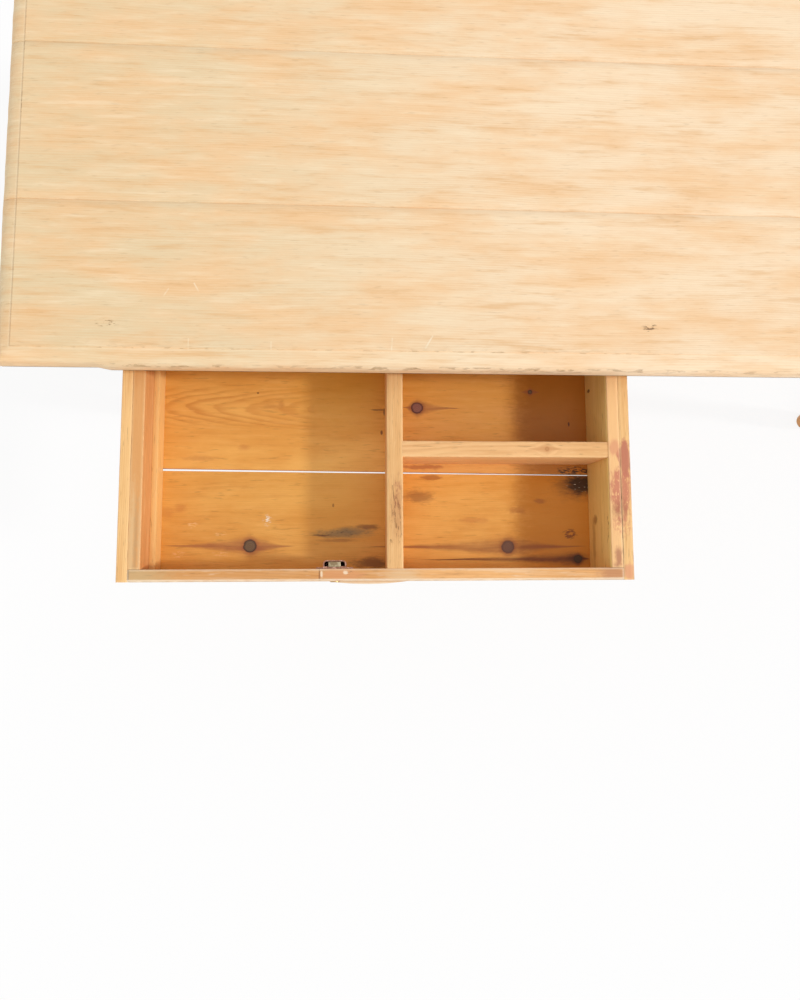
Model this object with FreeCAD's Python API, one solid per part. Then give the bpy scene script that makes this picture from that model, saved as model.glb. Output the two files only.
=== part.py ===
import FreeCAD, Part
import math
import os

# A pine kitchen table with two drawers in its front, the left one pulled out.
# Millimetres. X runs along the table, -Y is the front, Z is up.
# The origin is on the floor, under the middle of the top.

# Table top: tongued planks with a worn thumbnail moulding round the edge
TABLE_HEIGHT = 770.0
TOP_THICKNESS = 26.0
TOP_DEPTH = 780.0
TOP_END_OVERHANG = 60.0
TOP_FRONT_OVERHANG = 72.0
PLANK_COUNT = 4
PLANK_ARRIS = 0.6
TONGUE_LENGTH = 8.0
TONGUE_THICKNESS = 7.0
TONGUE_COVER = 12.5
MOULD_WIDTH = 20.0
MOULD_DROP = 12.0
QUIRK_DROP = 1.2
TOP_UNDER_ROUND = 3.0

# Legs: a square block above a turned shaft
LEG_BLOCK = 68.0
LEG_BLOCK_HEIGHT = 160.0
SHOULDER_HEIGHT = 14.0
SHOULDER_INSET = 0.6
COLLAR_RADIUS = 29.0
COLLAR_HEIGHT = 7.0
BEAD_RADIUS = 32.5
BEAD_HEIGHT = 20.0
COVE_RADIUS = 20.0
COVE_HEIGHT = 16.0
COVE_LIP_RADIUS = 25.0
VASE_RADIUS = 31.0
VASE_RISE = 90.0
SHAFT_RADIUS = 29.0
SHAFT_DROP = 190.0
ANKLE_RADIUS = 18.0
ANKLE_HEIGHT = 106.0
RING_RADIUS = 24.0
RING_HEIGHT = 14.0
FOOT_WAIST_RADIUS = 18.5
FOOT_RADIUS = 23.0
TOE_RADIUS = 17.0

# Frame: aprons, front rails and the upright between the drawers
APRON_THICKNESS = 22.0
APRON_SETBACK = 4.0
APRON_ARRIS = 1.5
TENON_THICKNESS = 10.0
TENON_LENGTH = 40.0
TENON_SHOULDER = 15.0
RAIL_DEPTH = 58.0
RAIL_SETBACK = 2.0
TOP_RAIL_THICKNESS = 20.0
BOTTOM_RAIL_THICKNESS = 22.0
RAIL_TENON_LENGTH = 36.0
RAIL_TENON_THICKNESS = 12.0
RAIL_TENON_WIDTH = 40.0
DOVETAIL_LENGTH = 30.0
DOVETAIL_NECK = 26.0
DOVETAIL_FLARE = 5.0
MUNTIN_WIDTH = 40.0
MUNTIN_TENON_THICKNESS = 12.0
MUNTIN_TENON_LENGTH = 10.0
MUNTIN_TENON_WIDTH = 32.0
PEG_RADIUS = 4.0
PEG_LENGTH = 34.0
PEG_INSET = 18.0
PEG_EDGE = 36.0
PEG_PROUD = 0.5
JOINT_CLEARANCE = 0.15
GLUE_SPACE = 1.0

# What carries and guides the drawers
RUNNER_WIDTH = 40.0
RUNNER_TENON_THICKNESS = 10.0
RUNNER_TENON_WIDTH = 24.0
RUNNER_TENON_LENGTH = 10.0
GUIDE_HEIGHT = 24.0
STOP_LENGTH = 30.0
STOP_DEPTH = 18.0
STOP_HEIGHT = 10.0
STOP_OFFSET = 150.0
STOP_CLEARANCE = 0.2
SCREW_LENGTH = 38.0
SCREW_RADIUS = 2.2
SCREW_HEAD_RADIUS = 4.4
SCREW_HEAD_HEIGHT = 3.0
SCREW_SLOT_WIDTH = 1.0
SCREW_CLEARANCE = 0.1

# Drawers
DRAWER_WIDTH = 620.0
DRAWER_HEIGHT = 85.0
DRAWER_LENGTH = 480.0
DRAWER_SIDE_CLEARANCE = 2.0
DRAWER_TOP_CLEARANCE = 2.7
RUNNING_CLEARANCE = 0.3
LEFT_OPENING = 321.0
RIGHT_OPENING = 0.0
FRONT_THICKNESS = 15.0
OUTER_SIDE_THICKNESS = 13.0
LINING_THICKNESS = 14.5
BACK_THICKNESS = 14.0
BACK_INSET = 6.0
BACK_DROP = 6.0
BOTTOM_THICKNESS = 8.0
BOTTOM_RECESS = 15.0
BOTTOM_FRONT_WIDTH = 124.0
BOTTOM_MIDDLE_WIDTH = 160.0
BOTTOM_GAP = 2.2
BOTTOM_SKEW = 3.0
GROOVE_DEPTH = 6.0
HOUSING_DEPTH = 3.0
BOARD_ARRIS = 1.2
SLIP_THICKNESS = 7.0
SLIP_HEIGHT = 26.0
TAPER_FOOT = 6.8
TAPER_HEAD = 0.8
TAPER_DROP = 1.5
DIVIDER_THICKNESS = 20.0
DIVIDER_OFFSET = 17.9
DIVIDER_DROP = 1.0
CROSS_THICKNESS = 20.0
CROSS_DISTANCE = 150.5
NAIL_RADIUS = 1.1
NAIL_HEAD_RADIUS = 2.6
NAIL_HEAD_PROUD = 0.7
NAIL_LENGTH = 24.0
LONG_NAIL_LENGTH = 38.0
NAIL_CLEARANCE = 0.05
NAIL_EDGE = 18.0
SIDE_NAIL_COUNT = 3
FRONT_NAIL_COUNT = 3

# Finger pull: a bowed lip over a scooped hollow
PULL_WIDTH = 105.0
PULL_OFFSET = -14.0
PULL_BOW = 4.0
PULL_TENON = 3.0
PULL_HEIGHT = 16.0
PULL_FROM_TOP = 31.0
SCOOP_WIDTH = 80.0
SCOOP_RADIUS = 22.0
SCOOP_DEPTH = 9.0
SCOOP_RISE = 8.0

# Drawer lock
LOCK_OFFSET = -54.7
LOCK_PLATE_WIDTH = 44.0
LOCK_PLATE_HEIGHT = 38.0
LOCK_PLATE_THICKNESS = 1.8
LOCK_PLATE_DROP = 2.0
LOCK_CASE_WIDTH = 27.6
LOCK_CASE_DEPTH = 8.4
LOCK_CASE_HEIGHT = 31.0
LOCK_CASE_WALL = 1.4
BOLT_WIDTH = 14.8
BOLT_CLEARANCE = 0.3
BOLT_DROP = 1.0
BOLT_THROW = 8.0
BOLT_NOTCH_RADIUS = 3.0
BOLT_SOCKET_CLEARANCE = 1.0
KEYHOLE_RADIUS = 2.4
KEYHOLE_SLOT_WIDTH = 2.2
KEYHOLE_SLOT_DROP = 6.0
KEYHOLE_FROM_TOP = 19.0
ESCUTCHEON_WIDTH = 11.0
ESCUTCHEON_HEIGHT = 18.0
ESCUTCHEON_THICKNESS = 1.2
LOCK_SCREW_LENGTH = 8.0
LOCK_SCREW_RADIUS = 1.0
LOCK_SCREW_HEAD_RADIUS = 1.8
LOCK_SCREW_HEAD_HEIGHT = 1.4
LOCK_SCREW_INSET = 4.0

# Sizes that follow from the driving ones
OPENING_WIDTH = DRAWER_WIDTH + 2 * DRAWER_SIDE_CLEARANCE
FRAME_LENGTH = 2 * LEG_BLOCK + 2 * OPENING_WIDTH + MUNTIN_WIDTH
FRAME_DEPTH = TOP_DEPTH - 2 * TOP_FRONT_OVERHANG
TOP_LENGTH = FRAME_LENGTH + 2 * TOP_END_OVERHANG
TOP_UNDERSIDE = TABLE_HEIGHT - TOP_THICKNESS
LEG_INNER_X = FRAME_LENGTH / 2 - LEG_BLOCK
LEG_INNER_Y = FRAME_DEPTH / 2 - LEG_BLOCK
OPENING_TOP = TOP_UNDERSIDE - TOP_RAIL_THICKNESS
OPENING_BOTTOM = OPENING_TOP - DRAWER_TOP_CLEARANCE - DRAWER_HEIGHT - RUNNING_CLEARANCE
APRON_BOTTOM = OPENING_BOTTOM - BOTTOM_RAIL_THICKNESS
APRON_OUTER_X = FRAME_LENGTH / 2 - APRON_SETBACK
APRON_INNER_X = APRON_OUTER_X - APRON_THICKNESS
BACK_OUTER_Y = FRAME_DEPTH / 2 - APRON_SETBACK
BACK_INNER_Y = BACK_OUTER_Y - APRON_THICKNESS
RAIL_FRONT_Y = -FRAME_DEPTH / 2 + RAIL_SETBACK
RAIL_BACK_Y = RAIL_FRONT_Y + RAIL_DEPTH
RAIL_MIDDLE_Y = (RAIL_FRONT_Y + RAIL_BACK_Y) / 2
CENTRE_HALF = MUNTIN_WIDTH / 2 + RUNNER_WIDTH
DRAWER_CENTRE = MUNTIN_WIDTH / 2 + DRAWER_SIDE_CLEARANCE + DRAWER_WIDTH / 2
DRAWER_HALF = DRAWER_WIDTH / 2
BOX_HALF = DRAWER_HALF - OUTER_SIDE_THICKNESS
INNER_HALF = BOX_HALF - LINING_THICKNESS
FLOOR_TOP = BOTTOM_RECESS + BOTTOM_THICKNESS
BACK_END = DRAWER_LENGTH - BACK_INSET
BACK_START = BACK_END - BACK_THICKNESS
CASE_START = FRONT_THICKNESS + LOCK_PLATE_THICKNESS
LOCK_TOP = DRAWER_HEIGHT - LOCK_PLATE_DROP
KEYHOLE_Z = DRAWER_HEIGHT - KEYHOLE_FROM_TOP

V = FreeCAD.Vector
LEFT, RIGHT = -1, 1


# Plain shapes

def block(x, y, z):
    """A box from three (low, high) pairs."""
    low = V(min(x), min(y), min(z))
    high = V(max(x), max(y), max(z))
    size = high - low
    return Part.makeBox(size.x, size.y, size.z, low)


def grown(pair, margin):
    """A (low, high) pair widened by a margin at both ends."""
    return (min(pair) - margin, max(pair) + margin)


def span(start, length):
    """The (low, high) pair that starts at one value and runs for a length."""
    return (start, start + length)


def mirrored(pair):
    """A (low, high) pair on the other side of zero."""
    return (-max(pair), -min(pair))


def sided(pair, side):
    """The pair itself on the right, or its mirror image on the left."""
    return pair if side == RIGHT else mirrored(pair)


def face_of(points, place):
    """A flat face from a chain of points; a point given as a pair of pairs ends an arc through its first."""
    edges = []
    start = place(*points[0])
    for item in points[1:] + [points[0]]:
        arc = isinstance(item[0], tuple)
        end = place(*(item[1] if arc else item))
        if arc:
            edges.append(Part.Arc(start, place(*item[0]), end).toShape())
        else:
            edges.append(Part.LineSegment(start, end).toShape())
        start = end
    return Part.Face(Part.Wire(edges))


def eased(board, radius, axis, only_top=True):
    """Rounds a plain board's edges that run along an axis, the upper ones or all four."""
    top = board.BoundBox.ZMax
    chosen = []
    for edge in board.Edges:
        first, last = (vertex.Point for vertex in edge.Vertexes)
        along = abs((last - first).normalize().dot(axis)) > 0.999
        high = abs(first.z - top) < 1e-6
        if along and (high or not only_top):
            chosen.append(edge)
    return board.makeFillet(radius, chosen)


def with_cuts(shape, cutters):
    """The shape less every cutter."""
    return shape.cut(list(cutters)) if cutters else shape


def joined(shapes):
    """One solid from shapes that meet."""
    return shapes[0].fuse(list(shapes[1:])).removeSplitter()


# Table top

def moulded_section(width, place):
    """Section of the top, with the moulding on both edges; u runs across it and z down from the top face."""
    bow = 1 - math.cos(math.radians(45))
    mould_mid = (MOULD_WIDTH * bow, -QUIRK_DROP - (MOULD_DROP - QUIRK_DROP) * bow)
    under_mid = (TOP_UNDER_ROUND * bow, -TOP_THICKNESS + TOP_UNDER_ROUND * bow)

    def far(point):
        return (width - point[0], point[1])

    edge = (0.0, -MOULD_DROP)
    low = (0.0, -TOP_THICKNESS + TOP_UNDER_ROUND)
    under = (TOP_UNDER_ROUND, -TOP_THICKNESS)
    quirk = (MOULD_WIDTH, -QUIRK_DROP)
    field = (MOULD_WIDTH, 0.0)
    chain = [field, quirk, (mould_mid, edge), low, (under_mid, under)]
    chain += [far(under), (far(under_mid), far(low)), far(edge), (far(mould_mid), far(quirk)), far(field)]
    return face_of(chain, place)


def top_slab():
    """The whole top before it is divided into planks, with mitred mouldings at its corners."""
    x0, y0 = -TOP_LENGTH / 2, -TOP_DEPTH / 2
    across = moulded_section(TOP_DEPTH, lambda u, z: V(x0, y0 + u, TABLE_HEIGHT + z))
    along = moulded_section(TOP_LENGTH, lambda u, z: V(x0 + u, y0, TABLE_HEIGHT + z))
    return across.extrude(V(TOP_LENGTH, 0, 0)).common(along.extrude(V(0, TOP_DEPTH, 0)))


def plank_edges():
    """The Y of each plank's front edge, and of the last one's back edge."""
    step = TOP_DEPTH / PLANK_COUNT
    return [-TOP_DEPTH / 2 + step * index for index in range(PLANK_COUNT + 1)]


def joint_arris(y):
    """The small V along a joint between two planks."""
    chain = [(y - PLANK_ARRIS, TABLE_HEIGHT), (y, TABLE_HEIGHT - PLANK_ARRIS), (y + PLANK_ARRIS, TABLE_HEIGHT)]
    return face_of(chain, lambda u, z: V(-TOP_LENGTH / 2, u, z)).extrude(V(TOP_LENGTH, 0, 0))


def make_planks(screw_holes):
    """The planks of the top, each with a tongue in the groove of the one in front of it."""
    slab = top_slab()
    edges = plank_edges()
    length = (-TOP_LENGTH / 2, TOP_LENGTH / 2)
    depth = (TOP_UNDERSIDE, TABLE_HEIGHT)
    tongue_top = TABLE_HEIGHT - TONGUE_COVER
    tongue = (tongue_top - TONGUE_THICKNESS, tongue_top)
    planks = {}
    for index in range(PLANK_COUNT):
        front, back = edges[index], edges[index + 1]
        plank = slab.common(block(length, (front, back), depth))
        cutters = list(screw_holes)
        if index > 0:
            tenon = slab.common(block(length, (front - TONGUE_LENGTH, front), tongue))
            plank = joined([plank, tenon])
            cutters.append(joint_arris(front))
        if index < PLANK_COUNT - 1:
            groove = (back - TONGUE_LENGTH - JOINT_CLEARANCE, back)
            cutters.append(block(length, groove, grown(tongue, JOINT_CLEARANCE)))
            cutters.append(joint_arris(back))
        planks[f"top_plank_{index + 1}"] = with_cuts(plank, cutters)
    return planks


# Screws, pegs and nails

def screw(length, radius, head_radius, head_height, margin=0.0):
    """A countersunk screw along +Z, its slotted head at the origin; with a margin, the hole that it fits."""
    head = Part.makeCone(head_radius + margin, radius + margin, head_height)
    shank = Part.makeCylinder(radius + margin, length - head_height + margin, V(0, 0, head_height))
    solid = joined([head, shank])
    if margin:
        return solid
    slot = block((-head_radius, head_radius), (-SCREW_SLOT_WIDTH / 2, SCREW_SLOT_WIDTH / 2), (0, head_height / 3))
    return solid.cut(slot)


def top_screw(margin=0.0):
    """One of the screws that hold the top down."""
    return screw(SCREW_LENGTH, SCREW_RADIUS, SCREW_HEAD_RADIUS, SCREW_HEAD_HEIGHT, margin)


def top_screw_places():
    """Where the screws pass up through the kickers, one for each plank and kicker."""
    edges = plank_edges()
    side_x = LEG_INNER_X - RUNNER_WIDTH / 2
    places = []
    for front, back in zip(edges, edges[1:]):
        y = (max(front, RAIL_BACK_Y) + min(back, BACK_INNER_Y)) / 2
        places += [V(x, y, OPENING_TOP) for x in (-side_x, 0.0, side_x)]
    return places


def copies(shape, places):
    """The shape repeated at each place."""
    return [shape.translated(place) for place in places]


def peg_places():
    """Start and direction of each peg through an apron's tenon."""
    places = []
    for z in (APRON_BOTTOM + PEG_EDGE, TOP_UNDERSIDE - PEG_EDGE):
        for x_side in (LEFT, RIGHT):
            outer_x = x_side * (FRAME_LENGTH / 2 + PEG_PROUD)
            for y_side in (LEFT, RIGHT):
                start = V(outer_x, y_side * (LEG_INNER_Y + PEG_INSET), z)
                places.append((start, V(-x_side, 0, 0)))
            start = V(x_side * (LEG_INNER_X + PEG_INSET), FRAME_DEPTH / 2 + PEG_PROUD, z)
            places.append((start, V(0, -1, 0)))
    return places


def pegs(margin=0.0):
    """The pegs, or with a margin the holes that they fit."""
    length = PEG_LENGTH + PEG_PROUD + margin
    return [Part.makeCylinder(PEG_RADIUS + margin, length, start, way) for start, way in peg_places()]


# Legs

def turned_outline():
    """Radius and height along the turned part of a leg, from its top down to the floor."""
    top = TOP_UNDERSIDE - LEG_BLOCK_HEIGHT
    bead = top - COLLAR_HEIGHT
    cove = bead - BEAD_HEIGHT
    vase = cove - COVE_HEIGHT
    ring = ANKLE_HEIGHT - RING_HEIGHT
    foot = ring / 2
    swell = ((VASE_RADIUS, vase - VASE_RISE * 0.7), (SHAFT_RADIUS, vase - SHAFT_DROP))
    return [
        (0.0, top), (COLLAR_RADIUS, top), (COLLAR_RADIUS, bead),
        ((BEAD_RADIUS, bead - BEAD_HEIGHT / 2), (COLLAR_RADIUS, cove)), (COVE_LIP_RADIUS, cove),
        ((COVE_RADIUS, cove - COVE_HEIGHT / 2), (COVE_LIP_RADIUS, vase)),
        swell, (ANKLE_RADIUS, ANKLE_HEIGHT),
        ((RING_RADIUS, ANKLE_HEIGHT - RING_HEIGHT / 2), (FOOT_WAIST_RADIUS, ring)),
        ((FOOT_RADIUS, foot), (TOE_RADIUS, 0.0)), (0.0, 0.0),
    ]


def plain_leg():
    """A leg with its block and turning, before its joints are cut, standing at the origin."""
    around = (V(0, 0, 0), V(0, 0, 1), 360)
    turned = face_of(turned_outline(), lambda r, z: V(r, 0, z)).revolve(*around)
    bottom = TOP_UNDERSIDE - LEG_BLOCK_HEIGHT
    half = LEG_BLOCK / 2
    corner = half * math.sqrt(2) + SHOULDER_INSET
    flat = half + SHOULDER_INSET
    shoulder = bottom + SHOULDER_HEIGHT
    bow = (corner - (corner - flat) * 0.3, bottom + SHOULDER_HEIGHT * 0.3)
    chain = [(0.0, bottom), (flat, bottom), (bow, (corner, shoulder)), (corner, TOP_UNDERSIDE), (0.0, TOP_UNDERSIDE)]
    round_stock = face_of(chain, lambda r, z: V(r, 0, z)).revolve(*around)
    square = block((-half, half), (-half, half), (bottom, TOP_UNDERSIDE))
    square = eased(square, APRON_ARRIS, V(0, 0, 1), only_top=False)
    return joined([square.common(round_stock), turned])


def make_legs(mortises):
    """The four legs, cut for the tenons, dovetails and pegs that they take."""
    leg = plain_leg()
    x = FRAME_LENGTH / 2 - LEG_BLOCK / 2
    y = FRAME_DEPTH / 2 - LEG_BLOCK / 2
    corners = {"front_left": (-x, -y), "front_right": (x, -y), "back_left": (-x, y), "back_right": (x, y)}
    return {f"leg_{name}": with_cuts(leg.translated(V(*place, 0)), mortises) for name, place in corners.items()}


# Frame

APRON_SPAN = (APRON_BOTTOM, TOP_UNDERSIDE)
APRON_TENON_SPAN = (APRON_BOTTOM + TENON_SHOULDER, TOP_UNDERSIDE - TENON_SHOULDER)
TENON_INSET = (APRON_THICKNESS - TENON_THICKNESS) / 2


def side_apron_parts(side, clearance=0.0, end=0.0):
    """The two tenons of a side apron, or with a clearance their mortises."""
    inner = APRON_INNER_X + TENON_INSET
    x = grown(sided(span(inner, TENON_THICKNESS), side), clearance)
    z = grown(APRON_TENON_SPAN, clearance)
    back = span(LEG_INNER_Y, TENON_LENGTH + end)
    return [block(x, mirrored(back), z), block(x, back, z)]


def back_apron_parts(clearance=0.0, end=0.0):
    """The two tenons of the back apron, or with a clearance their mortises."""
    y = grown(span(BACK_INNER_Y + TENON_INSET, TENON_THICKNESS), clearance)
    z = grown(APRON_TENON_SPAN, clearance)
    right = span(LEG_INNER_X, TENON_LENGTH + end)
    return [block(mirrored(right), y, z), block(right, y, z)]


def rail_tenons(clearance=0.0, end=0.0):
    """The two tenons of the lower front rail, or with a clearance their mortises."""
    z = grown(((APRON_BOTTOM + OPENING_BOTTOM - RAIL_TENON_THICKNESS) / 2,
               (APRON_BOTTOM + OPENING_BOTTOM + RAIL_TENON_THICKNESS) / 2), clearance)
    y = grown((RAIL_MIDDLE_Y - RAIL_TENON_WIDTH / 2, RAIL_MIDDLE_Y + RAIL_TENON_WIDTH / 2), clearance)
    right = span(LEG_INNER_X, RAIL_TENON_LENGTH + end)
    return [block(mirrored(right), y, z), block(right, y, z)]


def dovetails(clearance=0.0):
    """The dovetails at the ends of the upper front rail, or with a clearance their sockets."""
    neck = DOVETAIL_NECK / 2 + clearance
    tail = neck + DOVETAIL_FLARE
    tip = LEG_INNER_X + DOVETAIL_LENGTH + clearance
    tails = []
    for side in (LEFT, RIGHT):
        chain = [(LEG_INNER_X, -neck), (tip, -tail), (tip, tail), (LEG_INNER_X, neck)]
        plan = face_of(chain, lambda x, y: V(side * x, RAIL_MIDDLE_Y + y, OPENING_TOP))
        tails.append(plan.extrude(V(0, 0, TOP_RAIL_THICKNESS)))
    return tails


def muntin_tenons(clearance=0.0, end=0.0):
    """The stub tenons above and below the upright, or with a clearance their mortises."""
    x = grown((-MUNTIN_TENON_THICKNESS / 2, MUNTIN_TENON_THICKNESS / 2), clearance)
    y = grown((RAIL_MIDDLE_Y - MUNTIN_TENON_WIDTH / 2, RAIL_MIDDLE_Y + MUNTIN_TENON_WIDTH / 2), clearance)
    reach = MUNTIN_TENON_LENGTH + end
    return [block(x, y, span(OPENING_TOP, reach)), block(x, y, (OPENING_BOTTOM - reach, OPENING_BOTTOM))]


def bearer_x():
    """The X span of the left, middle and right bearers, which are the runners and the kickers."""
    right = (LEG_INNER_X - RUNNER_WIDTH, LEG_INNER_X)
    return {"left": mirrored(right), "centre": (-CENTRE_HALF, CENTRE_HALF), "right": right}


def bearer_tenons(x, middle_z, clearance=0.0, end=0.0):
    """The stub tenons at the front and back of a runner or kicker, or with a clearance their mortises."""
    middle = sum(x) / 2
    wide = grown((middle - RUNNER_TENON_WIDTH / 2, middle + RUNNER_TENON_WIDTH / 2), clearance)
    z = grown((middle_z - RUNNER_TENON_THICKNESS / 2, middle_z + RUNNER_TENON_THICKNESS / 2), clearance)
    reach = RUNNER_TENON_LENGTH + end
    return [block(wide, (RAIL_BACK_Y - reach, RAIL_BACK_Y), z), block(wide, span(BACK_INNER_Y, reach), z)]


RUNNER_Z = (APRON_BOTTOM, OPENING_BOTTOM)
KICKER_Z = (OPENING_TOP, TOP_UNDERSIDE)


def all_bearer_mortises():
    """Mortises for the tenons of every runner and kicker."""
    found = []
    for x in bearer_x().values():
        for z in (RUNNER_Z, KICKER_Z):
            found += bearer_tenons(x, sum(z) / 2, JOINT_CLEARANCE, GLUE_SPACE)
    return found


def make_bearers(screw_holes):
    """Runners under the drawers, kickers over them, and the guides at their sides."""
    run = (RAIL_BACK_Y, BACK_INNER_Y)
    made = {}
    for name, x in bearer_x().items():
        made[f"runner_{name}"] = joined([block(x, run, RUNNER_Z)] + bearer_tenons(x, sum(RUNNER_Z) / 2))
        kicker = joined([block(x, run, KICKER_Z)] + bearer_tenons(x, sum(KICKER_Z) / 2))
        made[f"kicker_{name}"] = with_cuts(kicker, screw_holes)
    guide_top = OPENING_BOTTOM + GUIDE_HEIGHT
    between_legs = (-LEG_INNER_Y, LEG_INNER_Y)
    for name, side in (("left", LEFT), ("right", RIGHT)):
        x = sided((LEG_INNER_X, APRON_INNER_X), side)
        made[f"guide_{name}"] = block(x, between_legs, (APRON_BOTTOM, guide_top))
    middle = (-MUNTIN_WIDTH / 2, MUNTIN_WIDTH / 2)
    made["guide_centre"] = block(middle, run, (OPENING_BOTTOM, guide_top))
    return made


def make_frame():
    """Aprons, front rails and the upright, with their tenons and mortises."""
    holes = pegs(SCREW_CLEARANCE)
    made = {}
    for name, side in (("left", LEFT), ("right", RIGHT)):
        x = sided((APRON_INNER_X, APRON_OUTER_X), side)
        board = block(x, (-LEG_INNER_Y, LEG_INNER_Y), APRON_SPAN)
        made[f"apron_{name}"] = with_cuts(joined([board] + side_apron_parts(side)), holes)
    back = block((-LEG_INNER_X, LEG_INNER_X), (BACK_INNER_Y, BACK_OUTER_Y), APRON_SPAN)
    back = joined([back] + back_apron_parts())
    bearer_mortises = all_bearer_mortises()
    made["apron_back"] = with_cuts(back, holes + bearer_mortises)
    between = (-LEG_INNER_X, LEG_INNER_X)
    depth = (RAIL_FRONT_Y, RAIL_BACK_Y)
    muntin_mortises = muntin_tenons(JOINT_CLEARANCE, GLUE_SPACE)
    top_rail = joined([block(between, depth, KICKER_Z)] + dovetails())
    sockets = [bolt_socket(side) for side in (LEFT, RIGHT)]
    made["front_top_rail"] = with_cuts(top_rail, bearer_mortises + muntin_mortises + sockets)
    bottom_rail = joined([block(between, depth, RUNNER_Z)] + rail_tenons())
    made["front_bottom_rail"] = with_cuts(bottom_rail, bearer_mortises + muntin_mortises)
    upright = block((-MUNTIN_WIDTH / 2, MUNTIN_WIDTH / 2), depth, (OPENING_BOTTOM, OPENING_TOP))
    made["front_muntin"] = joined([upright] + muntin_tenons())
    return made


def leg_mortises():
    """Everything that is cut out of the legs."""
    cutters = pegs(SCREW_CLEARANCE)
    for side in (LEFT, RIGHT):
        cutters += side_apron_parts(side, JOINT_CLEARANCE, GLUE_SPACE)
    cutters += back_apron_parts(JOINT_CLEARANCE, GLUE_SPACE)
    cutters += rail_tenons(JOINT_CLEARANCE, GLUE_SPACE)
    cutters += dovetails(JOINT_CLEARANCE)
    return cutters


def make_stops():
    """Small blocks on the lower rail that the drawer fronts close against."""
    front = RAIL_FRONT_Y + FRONT_THICKNESS + STOP_CLEARANCE
    stops = []
    for side in (LEFT, RIGHT):
        for offset in (-STOP_OFFSET, STOP_OFFSET):
            middle = side * DRAWER_CENTRE + offset
            x = (middle - STOP_LENGTH / 2, middle + STOP_LENGTH / 2)
            stops.append(block(x, span(front, STOP_DEPTH), span(OPENING_BOTTOM, STOP_HEIGHT)))
    return Part.makeCompound(stops)


# Drawers, each in its own frame: X from its middle, Y from the front's face, Z from its lower edge

def drawer_place(side, opening):
    """Where a drawer's own frame stands in the table."""
    return V(side * DRAWER_CENTRE, RAIL_FRONT_Y - opening, OPENING_BOTTOM + RUNNING_CLEARANCE)


def bolt_y():
    """The Y span of the lock bolt in its drawer."""
    inner = (CASE_START, CASE_START + LOCK_CASE_DEPTH - LOCK_CASE_WALL)
    return grown(inner, -BOLT_CLEARANCE)


def bolt_socket(side):
    """The socket that a lock's bolt rises into when its drawer is shut."""
    place = drawer_place(side, 0.0)
    x = grown((LOCK_OFFSET - BOLT_WIDTH / 2, LOCK_OFFSET + BOLT_WIDTH / 2), BOLT_SOCKET_CLEARANCE)
    y = grown(bolt_y(), BOLT_SOCKET_CLEARANCE)
    top = DRAWER_HEIGHT - BOLT_DROP + BOLT_THROW + BOLT_SOCKET_CLEARANCE
    return block(x, y, (DRAWER_HEIGHT, top)).translated(place)


def keyhole(y):
    """A keyhole cut through a span of Y."""
    barrel = Part.makeCylinder(KEYHOLE_RADIUS, max(y) - min(y), V(LOCK_OFFSET, min(y), KEYHOLE_Z), V(0, 1, 0))
    half = KEYHOLE_SLOT_WIDTH / 2
    slot = block((LOCK_OFFSET - half, LOCK_OFFSET + half), y, (KEYHOLE_Z - KEYHOLE_SLOT_DROP, KEYHOLE_Z))
    return barrel.fuse(slot)


def lock_screw_places():
    """Where the lock's screws go through the corners of its plate."""
    x = LOCK_PLATE_WIDTH / 2 - LOCK_SCREW_INSET
    low = LOCK_TOP - LOCK_PLATE_HEIGHT + LOCK_SCREW_INSET
    high = LOCK_TOP - LOCK_SCREW_INSET
    return [V(LOCK_OFFSET + way * x, CASE_START, z) for way in (LEFT, RIGHT) for z in (low, high)]


def lock_screws(margin=0.0):
    """The lock's screws, or with a margin their holes."""
    sizes = (LOCK_SCREW_LENGTH, LOCK_SCREW_RADIUS, LOCK_SCREW_HEAD_RADIUS, LOCK_SCREW_HEAD_HEIGHT)
    one = screw(*sizes, margin)
    one.rotate(V(0, 0, 0), V(1, 0, 0), 90)
    return copies(one, lock_screw_places())


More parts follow.
